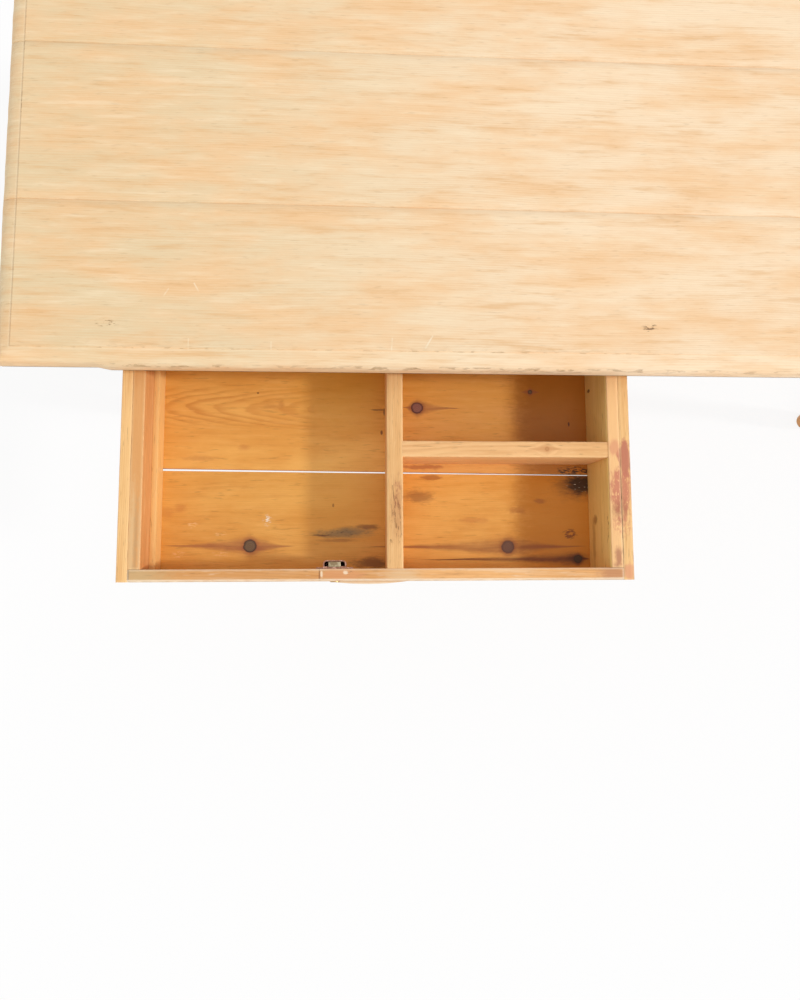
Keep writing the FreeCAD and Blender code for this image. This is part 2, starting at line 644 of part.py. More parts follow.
def make_lock():
    """The lock's plate with its open case, its bolt, and its screws."""
    plate_x = (LOCK_OFFSET - LOCK_PLATE_WIDTH / 2, LOCK_OFFSET + LOCK_PLATE_WIDTH / 2)
    plate_z = (LOCK_TOP - LOCK_PLATE_HEIGHT, LOCK_TOP)
    plate = block(plate_x, (FRONT_THICKNESS, CASE_START), plate_z)
    case_z = span(LOCK_TOP - LOCK_CASE_WALL - LOCK_CASE_HEIGHT, LOCK_CASE_HEIGHT)

    def case_block(inset, z):
        x = (LOCK_OFFSET - LOCK_CASE_WIDTH / 2 + inset, LOCK_OFFSET + LOCK_CASE_WIDTH / 2 - inset)
        depth = LOCK_CASE_DEPTH - inset
        body = block(x, span(CASE_START, depth), z)
        ends = [edge for edge in body.Edges if abs(edge.Curve.Direction.z) > 0.99
                and edge.Vertexes[0].Y > CASE_START + depth / 2]
        return body.makeFillet(depth / 2, ends)

    shell = case_block(0.0, case_z).cut(case_block(LOCK_CASE_WALL, (case_z[0] + LOCK_CASE_WALL, case_z[1])))
    case = joined([plate, shell])
    case = with_cuts(case, lock_screws(SCREW_CLEARANCE) + [keyhole((FRONT_THICKNESS, CASE_START))])
    bolt_x = (LOCK_OFFSET - BOLT_WIDTH / 2, LOCK_OFFSET + BOLT_WIDTH / 2)
    bolt_low = case_z[0] + LOCK_CASE_WALL + BOLT_CLEARANCE
    bolt = block(bolt_x, bolt_y(), (bolt_low, DRAWER_HEIGHT - BOLT_DROP))
    notch = Part.makeCylinder(BOLT_NOTCH_RADIUS, LOCK_CASE_DEPTH, V(LOCK_OFFSET, CASE_START, bolt_low), V(0, 1, 0))
    bolt = bolt.cut(notch)
    face = (-ESCUTCHEON_THICKNESS, 0.0)
    half = ESCUTCHEON_WIDTH / 2
    low, high = KEYHOLE_Z - ESCUTCHEON_HEIGHT / 2, KEYHOLE_Z + ESCUTCHEON_HEIGHT / 2
    oval = block((LOCK_OFFSET - half, LOCK_OFFSET + half), face, (low, high))
    upright = [edge for edge in oval.Edges if abs(edge.Curve.Direction.y) > 0.99]
    oval = oval.makeFillet(half * 0.98, upright)
    return {
        "lock_case": case, "lock_bolt": bolt, "escutcheon": oval.cut(keyhole(face)),
        "lock_screws": Part.makeCompound(lock_screws()),
    }


def make_pull():
    """The bowed lip of the finger pull, the housing that it is let into, and the hollow under it."""
    top = DRAWER_HEIGHT - PULL_FROM_TOP
    z = (top - PULL_HEIGHT, top)
    half = PULL_WIDTH / 2
    plan = [(-half, PULL_TENON), (-half, 0.0), ((0.0, -PULL_BOW), (half, 0.0)), (half, PULL_TENON)]
    lip = face_of(plan, lambda x, y: V(PULL_OFFSET + x, y, z[0])).extrude(V(0, 0, PULL_HEIGHT))
    housing_x = (PULL_OFFSET - half, PULL_OFFSET + half)
    housing = block(grown(housing_x, JOINT_CLEARANCE), (0.0, PULL_TENON + JOINT_CLEARANCE),
                    grown(z, JOINT_CLEARANCE))
    axis_y = SCOOP_DEPTH - SCOOP_RADIUS
    axis_z = z[0] + SCOOP_RISE - math.sqrt(SCOOP_RADIUS ** 2 - axis_y ** 2)
    start = V(PULL_OFFSET - SCOOP_WIDTH / 2, axis_y, axis_z)
    scoop = Part.makeCylinder(SCOOP_RADIUS, SCOOP_WIDTH, start, V(1, 0, 0))
    return lip, [housing, scoop]


def nail_places():
    """Start, direction and length of every nail in a drawer."""
    places = []
    rows = [NAIL_EDGE + index * (DRAWER_HEIGHT - 2 * NAIL_EDGE) / (FRONT_NAIL_COUNT - 1)
            for index in range(FRONT_NAIL_COUNT)]
    run = BACK_START - FRONT_THICKNESS
    for side in (LEFT, RIGHT):
        x = side * DRAWER_HALF
        way = V(-side, 0, 0)
        places += [(V(x, FRONT_THICKNESS / 2, z), way, NAIL_LENGTH) for z in rows]
        for index in range(SIDE_NAIL_COUNT):
            y = FRONT_THICKNESS + run * (index + 1) / (SIDE_NAIL_COUNT + 1)
            places.append((V(x, y, DRAWER_HEIGHT / 2), way, NAIL_LENGTH))
        places += [(V(x, (BACK_START + BACK_END) / 2, z), way, LONG_NAIL_LENGTH) for z in rows[1:]]
    return places


def nails(margin=0.0):
    """The nails of a drawer with their heads a little proud, or with a margin their holes."""
    made = []
    for start, way, length in nail_places():
        shank = Part.makeCylinder(NAIL_RADIUS + margin, length + margin, start, way)
        if not margin:
            head = Part.makeCylinder(NAIL_HEAD_RADIUS, NAIL_HEAD_PROUD, start, -way)
            shank = joined([shank, head])
        made.append(shank)
    return made


def bottom_boards():
    """The three boards of a drawer's bottom, with open gaps between them, the first gap a little askew."""
    x = INNER_HALF + GROOVE_DEPTH - JOINT_CLEARANCE
    start = FRONT_THICKNESS - GROOVE_DEPTH + JOINT_CLEARANCE
    first_end = FRONT_THICKNESS + BOTTOM_FRONT_WIDTH - BOTTOM_GAP / 2
    middle_start = first_end + BOTTOM_GAP
    middle_end = middle_start + BOTTOM_MIDDLE_WIDTH
    rear_start = middle_end + BOTTOM_GAP
    plans = {
        "bottom_front": [(-x, start), (x, start), (x, first_end - BOTTOM_SKEW), (-x, first_end + BOTTOM_SKEW)],
        "bottom_middle": [(-x, middle_start + BOTTOM_SKEW), (x, middle_start - BOTTOM_SKEW),
                          (x, middle_end), (-x, middle_end)],
        "bottom_rear": [(-x, rear_start), (x, rear_start), (x, BACK_END), (-x, BACK_END)],
    }
    return {name: face_of(plan, lambda u, v: V(u, v, BOTTOM_RECESS)).extrude(V(0, 0, BOTTOM_THICKNESS))
            for name, plan in plans.items()}


def divider_spans():
    """The spans of the long divider and of the cross divider, without their housed ends."""
    long_x = (DIVIDER_OFFSET - DIVIDER_THICKNESS / 2, DIVIDER_OFFSET + DIVIDER_THICKNESS / 2)
    cross_y = span(CROSS_DISTANCE, CROSS_THICKNESS)
    z = (FLOOR_TOP, DRAWER_HEIGHT - DIVIDER_DROP)
    return long_x, cross_y, z


def make_slips():
    """A divided drawer's slip along its left lining, and the tapered strips along its right one."""
    _, cross_y, _ = divider_spans()
    slip_x = mirrored((INNER_HALF - SLIP_THICKNESS, INNER_HALF))
    slip = block(slip_x, (FRONT_THICKNESS, BACK_START), span(FLOOR_TOP, SLIP_HEIGHT))
    head_z = DRAWER_HEIGHT - TAPER_DROP
    section = [(INNER_HALF, FLOOR_TOP), (INNER_HALF, head_z), (INNER_HALF - TAPER_HEAD, head_z),
               (INNER_HALF - TAPER_FOOT, FLOOR_TOP)]
    strips = [face_of(section, lambda u, v, y=start: V(u, y, v)).extrude(V(0, end - start, 0))
              for start, end in ((FRONT_THICKNESS, cross_y[0]), (cross_y[1], BACK_START))]
    return {"slip_left": eased(slip, BOARD_ARRIS, V(0, 1, 0)), "slip_right": Part.makeCompound(strips)}


def make_dividers():
    """The long divider and the cross divider, with their ends housed."""
    long_x, cross_y, z = divider_spans()
    reach = HOUSING_DEPTH - JOINT_CLEARANCE
    long_board = block(long_x, (FRONT_THICKNESS - reach, BACK_START + reach), z)
    long_board = eased(long_board, BOARD_ARRIS, V(0, 1, 0))
    housing = block((long_x[1] - HOUSING_DEPTH, long_x[1]), grown(cross_y, JOINT_CLEARANCE), (z[0], DRAWER_HEIGHT))
    cross = eased(block((long_x[1] - reach, INNER_HALF + reach), cross_y, z), BOARD_ARRIS, V(1, 0, 0))
    return {"divider": long_board.cut(housing), "cross_divider": cross}


def make_drawer(side, opening, divided):
    """Every piece of one drawer, by its name without the drawer's own name."""
    height = (0.0, DRAWER_HEIGHT)
    bottom_groove = (BOTTOM_RECESS, FLOOR_TOP + JOINT_CLEARANCE)
    above_floor = (FLOOR_TOP, DRAWER_HEIGHT)
    nail_holes = nails(NAIL_CLEARANCE)
    pull, pull_cuts = make_pull()
    long_x, cross_y, _ = divider_spans()
    long_housing_x = grown(long_x, JOINT_CLEARANCE)

    front_cuts = nail_holes + pull_cuts + lock_screws(SCREW_CLEARANCE) + [keyhole((0.0, FRONT_THICKNESS))]
    groove_half = INNER_HALF + GROOVE_DEPTH
    front_cuts.append(block((-groove_half, groove_half), (FRONT_THICKNESS - GROOVE_DEPTH, FRONT_THICKNESS),
                            bottom_groove))
    back_cuts = list(nail_holes)
    if divided:
        front_cuts.append(block(long_housing_x, (FRONT_THICKNESS - HOUSING_DEPTH, FRONT_THICKNESS), above_floor))
        back_cuts.append(block(long_housing_x, span(BACK_START, HOUSING_DEPTH), above_floor))
    front = eased(block((-BOX_HALF, BOX_HALF), (0.0, FRONT_THICKNESS), height), BOARD_ARRIS, V(1, 0, 0))
    back_x = INNER_HALF + HOUSING_DEPTH - JOINT_CLEARANCE
    back = block((-back_x, back_x), (BACK_START, BACK_END), (FLOOR_TOP, DRAWER_HEIGHT - BACK_DROP))
    made = {"front": with_cuts(front, front_cuts), "back": with_cuts(back, back_cuts)}

    for name, way in (("left", LEFT), ("right", RIGHT)):
        outer_x = sided((BOX_HALF, DRAWER_HALF), way)
        lining_x = sided((INNER_HALF, BOX_HALF), way)
        housing_x = sided((INNER_HALF, INNER_HALF + HOUSING_DEPTH), way)
        groove_x = sided((INNER_HALF, INNER_HALF + GROOVE_DEPTH), way)
        outer = eased(block(outer_x, (0.0, DRAWER_LENGTH), height), BOARD_ARRIS, V(0, 1, 0))
        lining = eased(block(lining_x, (FRONT_THICKNESS, DRAWER_LENGTH), height), BOARD_ARRIS, V(0, 1, 0))
        cutters = nail_holes + [block(groove_x, (FRONT_THICKNESS, DRAWER_LENGTH), bottom_groove)]
        cutters.append(block(housing_x, grown((BACK_START, BACK_END), JOINT_CLEARANCE), above_floor))
        if divided and way == RIGHT:
            cutters.append(block(housing_x, grown(cross_y, JOINT_CLEARANCE), above_floor))
        made[f"outer_side_{name}"] = with_cuts(outer, nail_holes)
        made[f"lining_{name}"] = with_cuts(lining, cutters)

    made.update(bottom_boards())
    made.update(make_lock())
    made["pull"] = pull
    made["nails"] = Part.makeCompound(nails())
    if divided:
        made.update(make_dividers())
        made.update(make_slips())
    place = drawer_place(side, opening)
    return {name: shape.translated(place) for name, shape in made.items()}


def main():
    """Builds every piece and writes one STEP file for each."""
    screw_places = top_screw_places()
    screw_holes = copies(top_screw(SCREW_CLEARANCE), screw_places)
    nodes = make_planks(screw_holes)
    nodes.update(make_legs(leg_mortises()))
    nodes.update(make_frame())
    nodes.update(make_bearers(screw_holes))
    nodes["drawer_stops"] = make_stops()
    nodes["joint_pegs"] = Part.makeCompound(pegs())
    nodes["top_screws"] = Part.makeCompound(copies(top_screw(), screw_places))
    for name, side, opening, divided in (("left", LEFT, LEFT_OPENING, True), ("right", RIGHT, RIGHT_OPENING, False)):
        pieces = make_drawer(side, opening, divided)
        nodes.update({f"{name}_drawer_{piece}": shape for piece, shape in pieces.items()})

    os.makedirs("parts", exist_ok=True)
    for name, shape in nodes.items():
        shape.exportStep(os.path.join("parts", f"{name}.step"))
    solids = sum(len(shape.Solids) for shape in nodes.values())
    print(f"{len(nodes)} nodes, {solids} solids, all valid: {all(shape.isValid() for shape in nodes.values())}")
    print(f"top {TOP_LENGTH:.1f} x {TOP_DEPTH:.1f}, opening {OPENING_BOTTOM:.1f} to {OPENING_TOP:.1f}")


main()
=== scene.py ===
"""A scrubbed pine kitchen table, its left drawer open and divided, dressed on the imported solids."""

from __future__ import annotations

import logging
import math
import random
from collections.abc import Callable, Iterable, Sequence
from dataclasses import dataclass, field, replace
from enum import Enum

import bpy
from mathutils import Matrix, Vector

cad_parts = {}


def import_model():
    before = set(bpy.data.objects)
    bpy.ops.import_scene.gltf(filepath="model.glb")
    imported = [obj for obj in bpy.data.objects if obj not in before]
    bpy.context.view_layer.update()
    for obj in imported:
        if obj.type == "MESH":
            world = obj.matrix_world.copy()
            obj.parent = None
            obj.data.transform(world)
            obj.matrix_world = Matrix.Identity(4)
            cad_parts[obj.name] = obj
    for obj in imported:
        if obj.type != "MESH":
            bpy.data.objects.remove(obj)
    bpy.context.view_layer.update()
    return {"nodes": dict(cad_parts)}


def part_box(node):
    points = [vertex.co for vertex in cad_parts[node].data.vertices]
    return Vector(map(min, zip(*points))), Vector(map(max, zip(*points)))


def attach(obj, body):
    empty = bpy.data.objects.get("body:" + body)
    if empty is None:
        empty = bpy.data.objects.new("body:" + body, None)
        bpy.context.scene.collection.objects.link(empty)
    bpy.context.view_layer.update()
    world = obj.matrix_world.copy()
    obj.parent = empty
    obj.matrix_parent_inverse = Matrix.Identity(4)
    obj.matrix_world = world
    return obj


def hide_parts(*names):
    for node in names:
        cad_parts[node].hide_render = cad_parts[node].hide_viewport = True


LOG = logging.getLogger("kitchen_table")
NEAR = 1e-5  # places this close count as one
TINY = 1e-6  # edges this short count as nothing
RIM = 0.7213  # height of the drawers' rims

Colour = tuple[float, float, float]
Triple = tuple[float, float, float]
Box = tuple[Vector, Vector]
Place = tuple[float | None, float | None, float | None]
PointTest = Callable[[Vector], bool]
EdgeTest = Callable[[Vector, Vector], bool]
FaceTest = Callable[[Vector, Vector], bool]


def tint(red: int, green: int, blue: int) -> Colour:
    """Turns a colour as a paint chart gives it, 0 to 255, into the linear colour a shader takes.

    Args:
        red: Red part.
        green: Green part.
        blue: Blue part.

    Returns:
        The linear colour.
    """
    def linear(part: int) -> float:
        """One part, linear."""
        share = part / 255
        return share / 12.92 if share <= 0.04045 else ((share + 0.055) / 1.055) ** 2.4

    return linear(red), linear(green), linear(blue)


def easing(share: float) -> float:
    """A smooth rise from 0 to 1, flat at both ends."""
    share = min(max(share, 0.0), 1.0)
    return share * share * (3 - 2 * share)


class Value:
    """A number that varies over a surface, which takes part in plain arithmetic."""

    def __init__(self, graph: Graph, socket: bpy.types.NodeSocket) -> None:
        """Wraps a node's output socket."""
        self.graph = graph
        self.socket = socket

    def _math(self, operation: str, *terms: Value | float) -> Value:
        """Adds a Math node on the terms."""
        return self.graph.node("ShaderNodeMath", {"operation": operation}, dict(enumerate(terms)))

    def __add__(self, other: Value | float) -> Value:
        """Sum."""
        return self._math("ADD", self, other)

    def __sub__(self, other: Value | float) -> Value:
        """Difference."""
        return self._math("SUBTRACT", self, other)

    def __rsub__(self, other: float) -> Value:
        """Reflected difference."""
        return self._math("SUBTRACT", other, self)

    def __mul__(self, other: Value | float) -> Value:
        """Product."""
        return self._math("MULTIPLY", self, other)

    def __truediv__(self, other: Value | float) -> Value:
        """Quotient."""
        return self._math("DIVIDE", self, other)

    def __rtruediv__(self, other: float) -> Value:
        """Reflected quotient."""
        return self._math("DIVIDE", other, self)

    def __pow__(self, other: Value | float) -> Value:
        """Power."""
        return self._math("POWER", self, other)

    def __neg__(self) -> Value:
        """The value with its sign turned."""
        return self._math("MULTIPLY", self, -1.0)

    def __abs__(self) -> Value:
        """Size without sign."""
        return self._math("ABSOLUTE", self)

    __radd__ = __add__
    __rmul__ = __mul__

    def most(self, other: Value | float) -> Value:
        """The larger of two."""
        return self._math("MAXIMUM", self, other)

    def least(self, other: Value | float) -> Value:
        """The smaller of two."""
        return self._math("MINIMUM", self, other)

    def held(self) -> Value:
        """Kept between 0 and 1."""
        return self.most(0.0).least(1.0)

    def root(self) -> Value:
        """Square root."""
        return self._math("SQRT", self)

    def part(self) -> Value:
        """What is left over the whole number."""
        return self._math("FRACT", self)

    def bell(self) -> Value:
        """A bell curve: 1 at 0, falling to 0 on both sides."""
        return self._math("EXPONENT", -(self * self))

    def rise(self, start: float, end: float) -> Value:
        """A smooth step.

        Args:
            start: Where it leaves 0.
            end: Where it reaches 1.

        Returns:
            The step.
        """
        return self.graph.node(
            "ShaderNodeMapRange", {"interpolation_type": "SMOOTHSTEP"},
            {"Value": self, "From Min": start, "From Max": end},
        )


class Graph:
    """The node tree of one material."""

    def __init__(self, name: str) -> None:
        """Starts an empty material with its output node.

        Args:
            name: The material's name.
        """
        self.material = bpy.data.materials.new(name)
        self.material.use_nodes = True
        self.tree = self.material.node_tree
        self.tree.nodes.clear()
        self.output = self.tree.nodes.new("ShaderNodeOutputMaterial")

    def node(
        self, kind: str, settings: dict | None = None, sockets: dict | None = None, out: int | str = 0,
    ) -> Value:
        """Adds any node.

        Args:
            kind: The node's type.
            settings: Its own settings, set before its sockets.
            sockets: Numbers, colours or links for its inputs, by name or index.
            out: Which output is wanted.

        Returns:
            That output.
        """
        made = self.tree.nodes.new(kind)
        for key, setting in (settings or {}).items():
            setattr(made, key, setting)
        for key, given in (sockets or {}).items():
            if isinstance(given, Value):
                self.tree.links.new(given.socket, made.inputs[key])
            elif made.inputs[key].type == "RGBA":
                made.inputs[key].default_value = (*given, 1.0)
            else:
                made.inputs[key].default_value = given
        return Value(self, made.outputs[out])

    def apart(self, vector: Value) -> tuple[Value, Value, Value]:
        """The three parts of a vector.

        Args:
            vector: The vector.

        Returns:
            Its x, y and z.
        """
        first = self.node("ShaderNodeSeparateXYZ", sockets={0: vector})
        outputs = first.socket.node.outputs
        return first, Value(self, outputs[1]), Value(self, outputs[2])

    def together(self, *parts: Value | float) -> Value:
        """A vector from three parts."""
        return self.node("ShaderNodeCombineXYZ", sockets=dict(enumerate(parts)))

    def attribute(self, name: str, out: str) -> Value:
        """A mark that the mesh carries."""
        return self.node("ShaderNodeAttribute", {"attribute_name": name}, out=out)

    def noise(self, vector: Value, detail: float, rough: float = 0.5) -> Value:
        """Cloudy noise on ready scaled coordinates, about 0 to 1.

        Args:
            vector: The coordinates.
            detail: How many finer layers it has.
            rough: How strong those are.

        Returns:
            The noise.
        """
        return self.node(
            "ShaderNodeTexNoise", {"noise_dimensions": "3D"},
            {"Vector": vector, "Scale": 1.0, "Detail": detail, "Roughness": rough},
        )

    def mottled(self, place: Sequence[Value], mottle: Mottle) -> Value:
        """Noise drawn out along the fibres.

        Args:
            place: The place along the fibres, across them and through the board.
            mottle: How fine the noise is.

        Returns:
            The noise, about 0 to 1.
        """
        along, across, through = place
        vector = self.together(along * mottle.along, across * mottle.across, through * mottle.across)
        return self.noise(vector, mottle.detail, mottle.rough)

    def mix(self, share: Value | float, first: Value | Colour, second: Value | Colour) -> Value:
        """Blends two colours.

        Args:
            share: How much of the second.
            first: Colour at 0.
            second: Colour at 1.

        Returns:
            The blend.
        """
        return self.node(
            "ShaderNodeMix", {"data_type": "RGBA", "blend_type": "MIX", "clamp_factor": True},
            {0: share, 6: first, 7: second}, out=2,
        )

    def surface(self, sockets: dict, bump: Value, height: float, lift: float) -> None:
        """Ends the tree in a principled surface.

        Args:
            sockets: Inputs of the surface.
            bump: Height over the surface.
            height: What a height of 1 stands for, in metres.
            lift: Strength of the relief.
        """
        normal = self.node("ShaderNodeBump", sockets={"Strength": lift, "Distance": height, "Height": bump})
        shader = self.node("ShaderNodeBsdfPrincipled", sockets={**sockets, "Normal": normal})
        self.tree.links.new(shader.socket, self.output.inputs["Surface"])


@dataclass(frozen=True)
class Mottle:
    """Noise in a surface.

    Attributes:
        along: How fine it is along the fibres, per metre.
        across: How fine it is across them, per metre.
        detail: How many finer layers it has.
        rough: How strongly those show.
    """

    along: float
    across: float
    detail: float = 2.0
    rough: float = 0.5


SWAY = Mottle(2.4, 6.0)
RIPPLE = Mottle(11.0, 60.0, 3.0)
RAGGED = Mottle(90.0, 210.0, 4.0, 0.62)
SPECKS = Mottle(170.0, 520.0, 3.0, 0.6)
CLOUD = Mottle(7.0, 22.0, 5.0, 0.6)
STREAK = Mottle(4.0, 150.0, 4.0, 0.6)
FIBRE = Mottle(36.0, 1500.0)
SHORT = Mottle(52.0, 430.0)
BROKEN = Mottle(70.0, 230.0, 3.0)
COARSE = Mottle(160.0, 160.0, 4.0, 0.6)
FINE = Mottle(900.0, 900.0, 3.0, 0.6)
BRUSHED = Mottle(300.0, 2200.0)


class Grain(Enum):
    """Which way a board lies: the axes of its length, its width and its thickness."""

    X_FLAT = (0, 1, 2)
    X_UPRIGHT = (0, 2, 1)
    Y_FLAT = (1, 0, 2)
    Y_UPRIGHT = (1, 2, 0)
    Z_UPRIGHT = (2, 0, 1)


@dataclass(frozen=True)
class Knot:
    """A knot in a board's face.

    Attributes:
        centre: Its place on the table; the axis through the board is None.
        radius: Radius of the knot.
        before: Length of the resin streak towards the low end.
        after: Length of the resin streak towards the high end.
        width: Half width of the streak beside the knot, in radii.
        ring: Colour of its rim.
        heart: Colour of its middle.
        streak: Colour of the resin streak.
        depth: How strongly the streak shows.
    """

    centre: Place
    radius: float
    before: float
    after: float
    width: float = 1.5
    ring: Colour = tint(66, 44, 33)
    heart: Colour = tint(126, 98, 70)
    streak: Colour = tint(162, 92, 58)
    depth: float = 0.9


@dataclass(frozen=True)
class Stain:
    """A patch of another colour with ragged edges.

    Attributes:
        centre: Its middle on the table; None leaves that axis out.
        half: Half its size along each axis.
        colour: What it turns the wood to.
        depth: How strongly it covers.
        ragged: How far its edge wanders, as a share of its size.
        soft: How soft its edge is, as a share of its size.
        sparse: How sparse the specks are that it breaks into; None leaves it whole.
    """

    centre: Place
    half: Triple
    colour: Colour
    depth: float = 0.8
    ragged: float = 0.7
    soft: float = 0.35
    sparse: float | None = None


def flat_stain(x: float, y: float, long: float, wide: float, colour: Colour, *look: float) -> Stain:
    """A stain as it is seen from above, whatever its height.

    Args:
        x: Its middle along the table.
        y: Its middle across the table.
        long: Half its size along the table.
        wide: Half its size across the table.
        colour: What it turns the wood to.
        look: The stain's depth, ragged, soft and sparse, as many as are given.

    Returns:
        The stain.
    """
    return Stain((x, y, None), (long, wide, 1.0), colour, *look)


@dataclass(frozen=True)
class Scratch:
    """A straight scratch seen from above.

    Attributes:
        start: One end, along and across the table.
        end: The other end.
        width: Its width.
        colour: Its colour.
        depth: How strongly it shows.
    """

    start: tuple[float, float]
    end: tuple[float, float]
    width: float
    colour: Colour
    depth: float = 0.7


@dataclass(frozen=True)
class Pine:
    """Old pine: rings round a heart, fibres, resin streaks, knots, stains and rubbed arrises.

    Attributes:
        name: Name of the finish.
        grain: How the board lies.
        pale: Colour of the soft early wood.
        deep: Colour of the hard late wood lines.
        warm: Colour of the patches that have darkened.
        worn: Colour of rubbed arrises, also used for the painted highlights that the wear mark carries.
        dirt: Colour in pits and quirks.
        ring: Distance between rings.
        taper: How fast the heart leaves the face along the board.
        wander: How far the rings stray sideways.
        ripples: How uneven the rings are, in rings.
        aside: How far along the board the middle of the ringed stretch lies from the heart's place.
        reach: How far along the board the rings show on either side of that middle.
        breadth: How far across the board they show on either side of it.
        clear: How far on either side of the heart's place no rings show.
        lines: How strongly the rings show.
        streaks: How strongly long streaks show.
        dash: How often the streaks break off along the board, per metre.
        patches: How strongly warm patches show.
        flecks: How strongly short dark flecks show.
        rubbed: How strongly rubbed arrises, and painted highlights marked with them, show.
        grime: How strongly dirt shows in pits.
        rough: Surface roughness.
        relief: Strength of the surface relief.
        shift: Colour at the high end of the board, if it changes along its length.
        span: Where that change starts and ends along the board.
        painted_shade: Painted shade, laid first so that the knots show through: darker patches on the drawer
            floor where the walls' and divider's shadows fall.
        knots: Knots.
        stains: Stains.
        scratches: Scratches.
    """

    name: str
    grain: Grain
    pale: Colour
    deep: Colour
    warm: Colour
    worn: Colour = tint(250, 214, 160)
    dirt: Colour = tint(84, 52, 26)
    ring: float = 0.0026
    taper: float = 0.03
    wander: float = 0.02
    ripples: float = 0.9
    aside: float = 0.0
    reach: float = 9.0
    breadth: float = 9.0
    clear: float = 0.0001
    lines: float = 0.5
    streaks: float = 0.35
    dash: float = 4.0
    patches: float = 0.5
    flecks: float = 0.3
    rubbed: float = 0.6
    grime: float = 0.7
    rough: float = 0.5
    relief: float = 0.35
    shift: Colour | None = None
    span: tuple[float, float] = (-0.7, 0.7)
    painted_shade: tuple[Stain, ...] = ()
    knots: tuple[Knot, ...] = ()
    stains: tuple[Stain, ...] = ()
    scratches: tuple[Scratch, ...] = ()

    def material(self) -> bpy.types.Material:
        """Builds the finish as nodes.

        Returns:
            The material.
        """
        graph = Graph(self.name)
        axes = graph.apart(graph.node("ShaderNodeTexCoord", out="Object"))
        place = [axes[index] for index in self.grain.value]
        sway, ripple, ragged, specks = (
            graph.mottled(place, each) - 0.5 for each in (SWAY, RIPPLE, RAGGED, SPECKS)
        )
        cloud, fibre, short, broken = (graph.mottled(place, each) for each in (CLOUD, FIBRE, SHORT, BROKEN))
        streak = graph.mottled(place, replace(STREAK, along=self.dash))
        fleck, chip = short.rise(0.60, 0.76), short.rise(0.40, 0.26)

        rings = self._rings(graph, axes, sway, ripple)
        tone = self._wood(graph, place[0], rings, cloud, streak, fibre)
        tone = graph.mix(chip * self.flecks * 0.8, tone, self.worn)
        tone = graph.mix(fleck * self.flecks, tone, self.dirt)
        for mark in (*self.painted_shade, *self.knots, *self.stains, *self.scratches):
            if isinstance(mark, Knot):
                tone = self._knotted(graph, tone, mark, axes, (ripple, ragged, streak))
            elif isinstance(mark, Stain):
                tone = graph.mix(self._patch(mark, axes, ragged, specks), tone, mark.colour)
            else:
                tone = graph.mix(self._line(mark, axes, ragged), tone, mark.colour)

        facing = graph.apart(graph.node("ShaderNodeTexCoord", out="Normal"))[self.grain.value[0]]
        tone = graph.mix(abs(facing).rise(0.6, 0.95) * 0.4, tone, self.deep)
        # The wear mark holds rubbed arrises and also painted highlights: the line beside the top's quirk and
        # the drawer fronts' arrises.
        wear, pit = (graph.attribute(name, "Fac") for name in ("wear", "grime"))
        rub = (wear * (0.75 + ragged * 1.6 + streak * 0.5)).held() * self.rubbed
        tone = graph.mix(rub, tone, self.worn)
        clusters = broken.rise(0.52, 0.60) * sway.rise(-0.14, 0.06)
        tone = graph.mix((pit * (0.6 + ragged * 1.5)).held() * clusters * self.grime, tone, self.dirt)

        sheen = self.rough + (cloud - 0.5) * 0.25 - rings * 0.06 + rub * 0.15
        height = rings * 0.35 + fibre * 0.35 + streak * 0.4 - fleck * 0.5 + ragged * 0.15
        graph.surface(
            {"Base Color": tone, "Roughness": sheen.held(), "Specular IOR Level": 0.3},
            bump=height, height=0.0004, lift=self.relief,
        )
        return graph.material

    def _rings(self, graph: Graph, axes: Sequence[Value], sway: Value, ripple: Value) -> Value:
        """The late wood lines, bowed round the knots.

        Args:
            graph: The tree.
            axes: The place on the table.
            sway: Slow noise.
            ripple: Quick noise.

        Returns:
            1 in the middle of a late wood line, 0 in early wood.
        """
        along, across, through = (axes[index] for index in self.grain.value)
        heart = graph.apart(graph.attribute("heart", "Vector"))
        side = across - heart[0] + sway * self.wander
        for knot in self.knots:
            run, offset = self._from_knot(knot, axes)
            reach = (run / (knot.radius * 4.5)).bell() * (offset / (knot.radius * 2.6)).bell()
            side = side - offset * reach * 0.8
        run = along - heart[2]
        sunk = abs(through - heart[1]) + (run * run + 0.0001).root() * self.taper
        count = (side * side + sunk * sunk).root() / self.ring + ripple * self.ripples
        phase = count.part()
        line = phase.rise(0.25, 0.82) * (1.0 - phase.rise(0.88, 1.0))
        gain = graph.noise(graph.together(count * 0.31, along * 3.0, 0.0), 1.0).rise(0.3, 0.75)
        length = abs(run - self.aside).rise(1.3 * self.reach, 0.7 * self.reach)
        length = length * abs(run).rise(0.8 * self.clear, 1.2 * self.clear)
        return line * (0.3 + gain * 0.7) * length * abs(side).rise(1.4 * self.breadth, 0.6 * self.breadth)

    def _wood(
        self, graph: Graph, along: Value, rings: Value, cloud: Value, streak: Value, fibre: Value,
    ) -> Value:
        """The colour of clear wood.

        Args:
            graph: The tree.
            along: Place along the board.
            rings: Late wood lines.
            cloud: Slow patches.
            streak: Long streaks.
            fibre: Fine fibres.

        Returns:
            The colour.
        """
        tone = self.pale if self.shift is None else graph.mix(along.rise(*self.span), self.pale, self.shift)
        tone = graph.mix(cloud.rise(0.35, 0.68) * self.patches, tone, self.warm)
        tone = graph.mix(rings * self.lines, tone, self.deep)
        tone = graph.mix(streak.rise(0.5, 0.75) * self.streaks, tone, self.deep)
        tone = graph.mix(streak.rise(0.5, 0.25) * self.streaks * 0.8, tone, self.worn)
        return graph.mix(fibre.rise(0.35, 0.75) * 0.12, tone, self.deep)

    def _from_knot(self, knot: Knot, axes: Sequence[Value]) -> tuple[Value, Value]:
        """How far a place lies from a knot, along the fibres and across them.

        Args:
            knot: The knot.
            axes: The place on the table.

        Returns:
            Both distances.
        """
        run = self.grain.value[0]
        side = next(index for index in (0, 1, 2) if index != run and knot.centre[index] is not None)
        return axes[run] - (knot.centre[run] or 0.0), axes[side] - (knot.centre[side] or 0.0)

